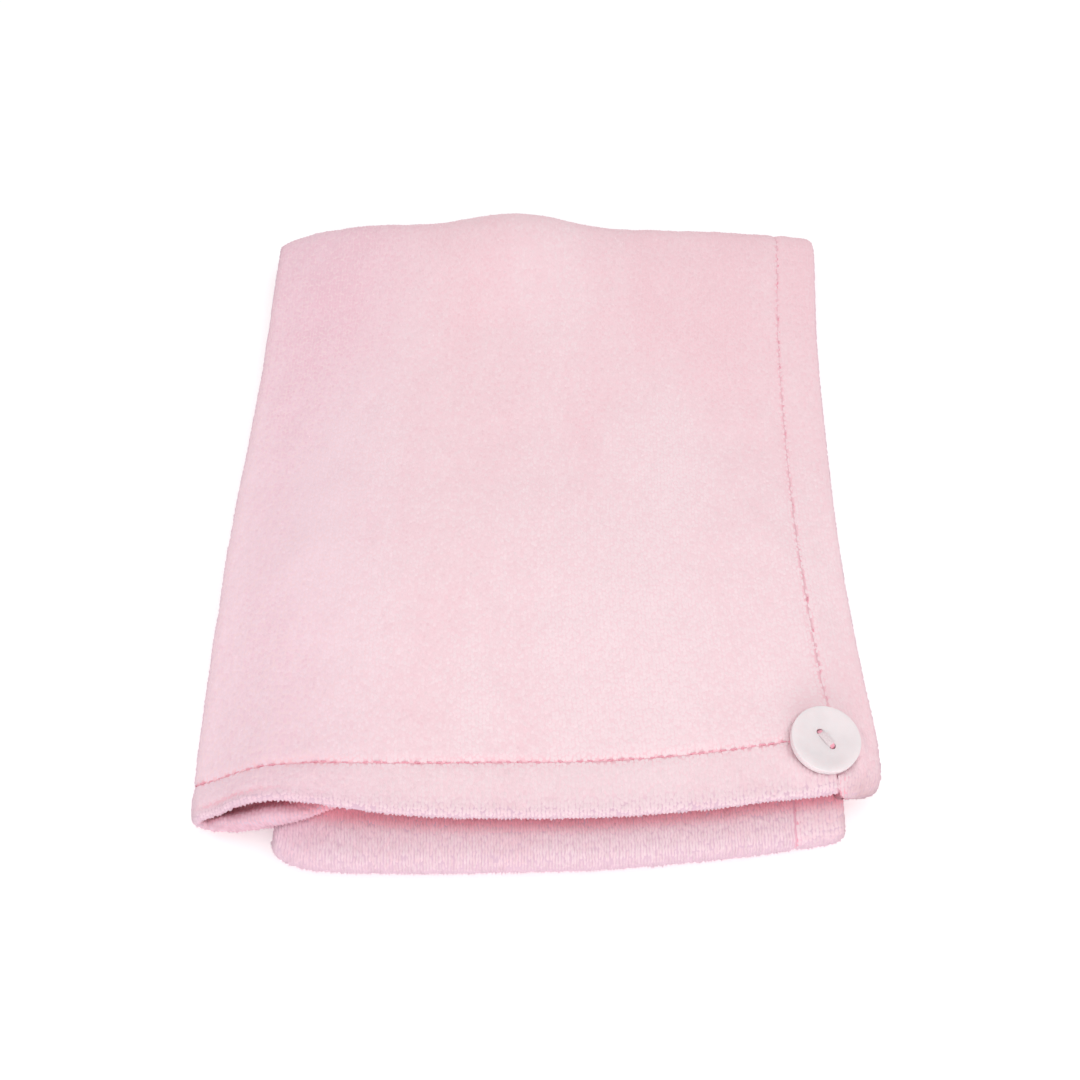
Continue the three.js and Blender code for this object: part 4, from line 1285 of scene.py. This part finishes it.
def make_button():
    radius, thick, hole = (BUTTON[size] * MM for size in ("radius", "thick", "hole"))
    bpy.ops.object.select_all(action="DESELECT")
    middle = (0, 0, thick / 2)
    bpy.ops.mesh.primitive_cylinder_add(vertices=96, radius=radius, depth=thick, location=middle)
    disc = bpy.context.object
    disc.name = "button_disc"
    bpy.ops.object.transform_apply(location=True, rotation=False, scale=False)
    bpy.ops.object.mode_set(mode="EDIT")
    bpy.ops.mesh.select_all(action="DESELECT")
    bpy.ops.object.mode_set(mode="OBJECT")
    for polygon in disc.data.polygons:
        polygon.select = polygon.normal.z > 0.9
    bpy.ops.object.mode_set(mode="EDIT")
    bpy.ops.mesh.select_mode(type="FACE")
    bpy.ops.mesh.inset(thickness=BUTTON["rim"] * MM)
    bpy.ops.mesh.inset(thickness=BUTTON["slope"] * MM)
    bpy.ops.transform.translate(value=(0, 0, -BUTTON["dish"] * MM))
    bpy.ops.object.mode_set(mode="OBJECT")
    for side in (-1, 1):
        bpy.ops.mesh.primitive_cylinder_add(
            vertices=32, radius=hole, depth=3 * thick, location=(side * BUTTON["spread"] * MM, 0, thick / 2),
        )
        drill = bpy.context.object
        cut = disc.modifiers.new("hole", "BOOLEAN")
        cut.operation, cut.object, cut.solver = "DIFFERENCE", drill, "EXACT"
        bpy.context.view_layer.objects.active = disc
        bpy.ops.object.modifier_apply(modifier="hole")
        bpy.data.objects.remove(drill)
    rounding = disc.modifiers.new("rounding", "BEVEL")
    rounding.limit_method, rounding.angle_limit = "ANGLE", math.radians(40)
    rounding.width, rounding.segments = BUTTON["rounding"] * MM, 4
    bpy.ops.object.select_all(action="DESELECT")
    disc.select_set(True)
    bpy.context.view_layer.objects.active = disc
    bpy.ops.object.modifier_apply(modifier="rounding")
    bpy.ops.object.shade_smooth_by_angle(angle=math.radians(35))
    disc.data.materials.clear()
    disc.data.materials.append(button_plastic)
    seat = Matrix([
        (BUTTON_RIGHT[k], BUTTON_AWAY[k], BUTTON_UP[k], BUTTON_BACK[k] * MM) for k in range(3)
    ] + [(0, 0, 0, 1)])
    disc.data.transform(seat @ Matrix.Rotation(math.radians(BUTTON["turn"]), 4, "Z"))
    disc.matrix_world = Matrix.Identity(4)
    fit(disc, stands_for="button")


make_button()


# The thread that holds the button: strands from hole to hole over the bridge between them

STRAND = {"apart": 0.42, "radius": 0.27, "high": 1.6, "arch": 0.3, "down": 1.4}


def button_thread(name, strands, reach, stack, material):
    """Strands side by side from hole to hole, their ends sunk into the holes."""
    turned = math.radians(BUTTON["turn"])
    over = BUTTON_RIGHT * math.cos(turned) + BUTTON_AWAY * math.sin(turned)
    beside = np.cross(BUTTON_UP, over)
    face_height = BUTTON["thick"] - BUTTON["dish"]
    dice = np.random.default_rng(51 + strands)
    steps = np.linspace(-1, 1, 13)
    along = steps * (BUTTON["spread"] + reach)
    lines = []
    for strand in range(strands):
        lane = (strand - (strands - 1) / 2) * STRAND["apart"]
        raised = stack * (STRAND["high"] - (lane / 1.4) ** 2)
        arch = face_height + raised + STRAND["arch"] * (1 - steps**2)
        arch = np.where(np.abs(steps) > 0.93, face_height - STRAND["down"], arch)
        arch = np.where(np.isclose(np.abs(steps), 5 / 6), face_height + 0.3 * raised, arch)
        lanes = lane * (1 - 0.3 * np.abs(steps)) + dice.normal(0, 0.05, len(steps))
        line = over * along[:, None] + beside * lanes[:, None] + BUTTON_UP * arch[:, None]
        lines.append(BUTTON_BACK + line)
    lines = np.stack(lines)
    points, faces = tube(lines, np.full(lines.shape[:2], STRAND["radius"])[..., None], beside, 7)
    fit(make_mesh(name, points, outward(points, faces), material))


button_thread("thread_over_button", 7, 0.15, 0.24, white_thread)
button_thread("thread_in_holes", 5, 0.85, 0.02, pink_thread)


# The light and the floor

WORLD_LIGHT = 0.69
FLOOR_BELOW = 0.0002  # how far the floor is below the towel, in metres
LAMPS = {
    "overhead": {"at": (0.1, -0.1, 0.8), "size": 0.7, "power": 1.35},
    "front": {"at": (0.0, -1.0, 0.4), "size": 0.8, "power": 2.9},
}


def set_light():
    world = bpy.data.worlds.new("studio")
    world.use_nodes = True
    sky = world.node_tree.nodes["Background"].inputs
    sky["Color"].default_value, sky["Strength"].default_value = (1, 0.985, 0.985, 1), WORLD_LIGHT
    bpy.context.scene.world = world
    for name, lamp in LAMPS.items():
        light = bpy.data.lights.new(name, "AREA")
        light.shape, light.size, light.energy = "DISK", lamp["size"], lamp["power"]
        hung = bpy.data.objects.new(name, light)
        hung.location = lamp["at"]
        hung.rotation_euler = (-Vector(lamp["at"])).to_track_quat("-Z", "Y").to_euler()
        bpy.context.scene.collection.objects.link(hung)
    bpy.context.scene.view_settings.view_transform = "Standard"


def lay_floor():
    bpy.ops.object.select_all(action="DESELECT")
    bpy.ops.mesh.primitive_plane_add(size=6, location=(0, 0, -FLOOR_BELOW))
    floor = bpy.context.object
    floor.name = "floor"
    floor.data.materials.append(floor_finish())
    bpy.ops.object.transform_apply(location=True, rotation=True, scale=True)
    return floor


set_light()
floor = lay_floor()
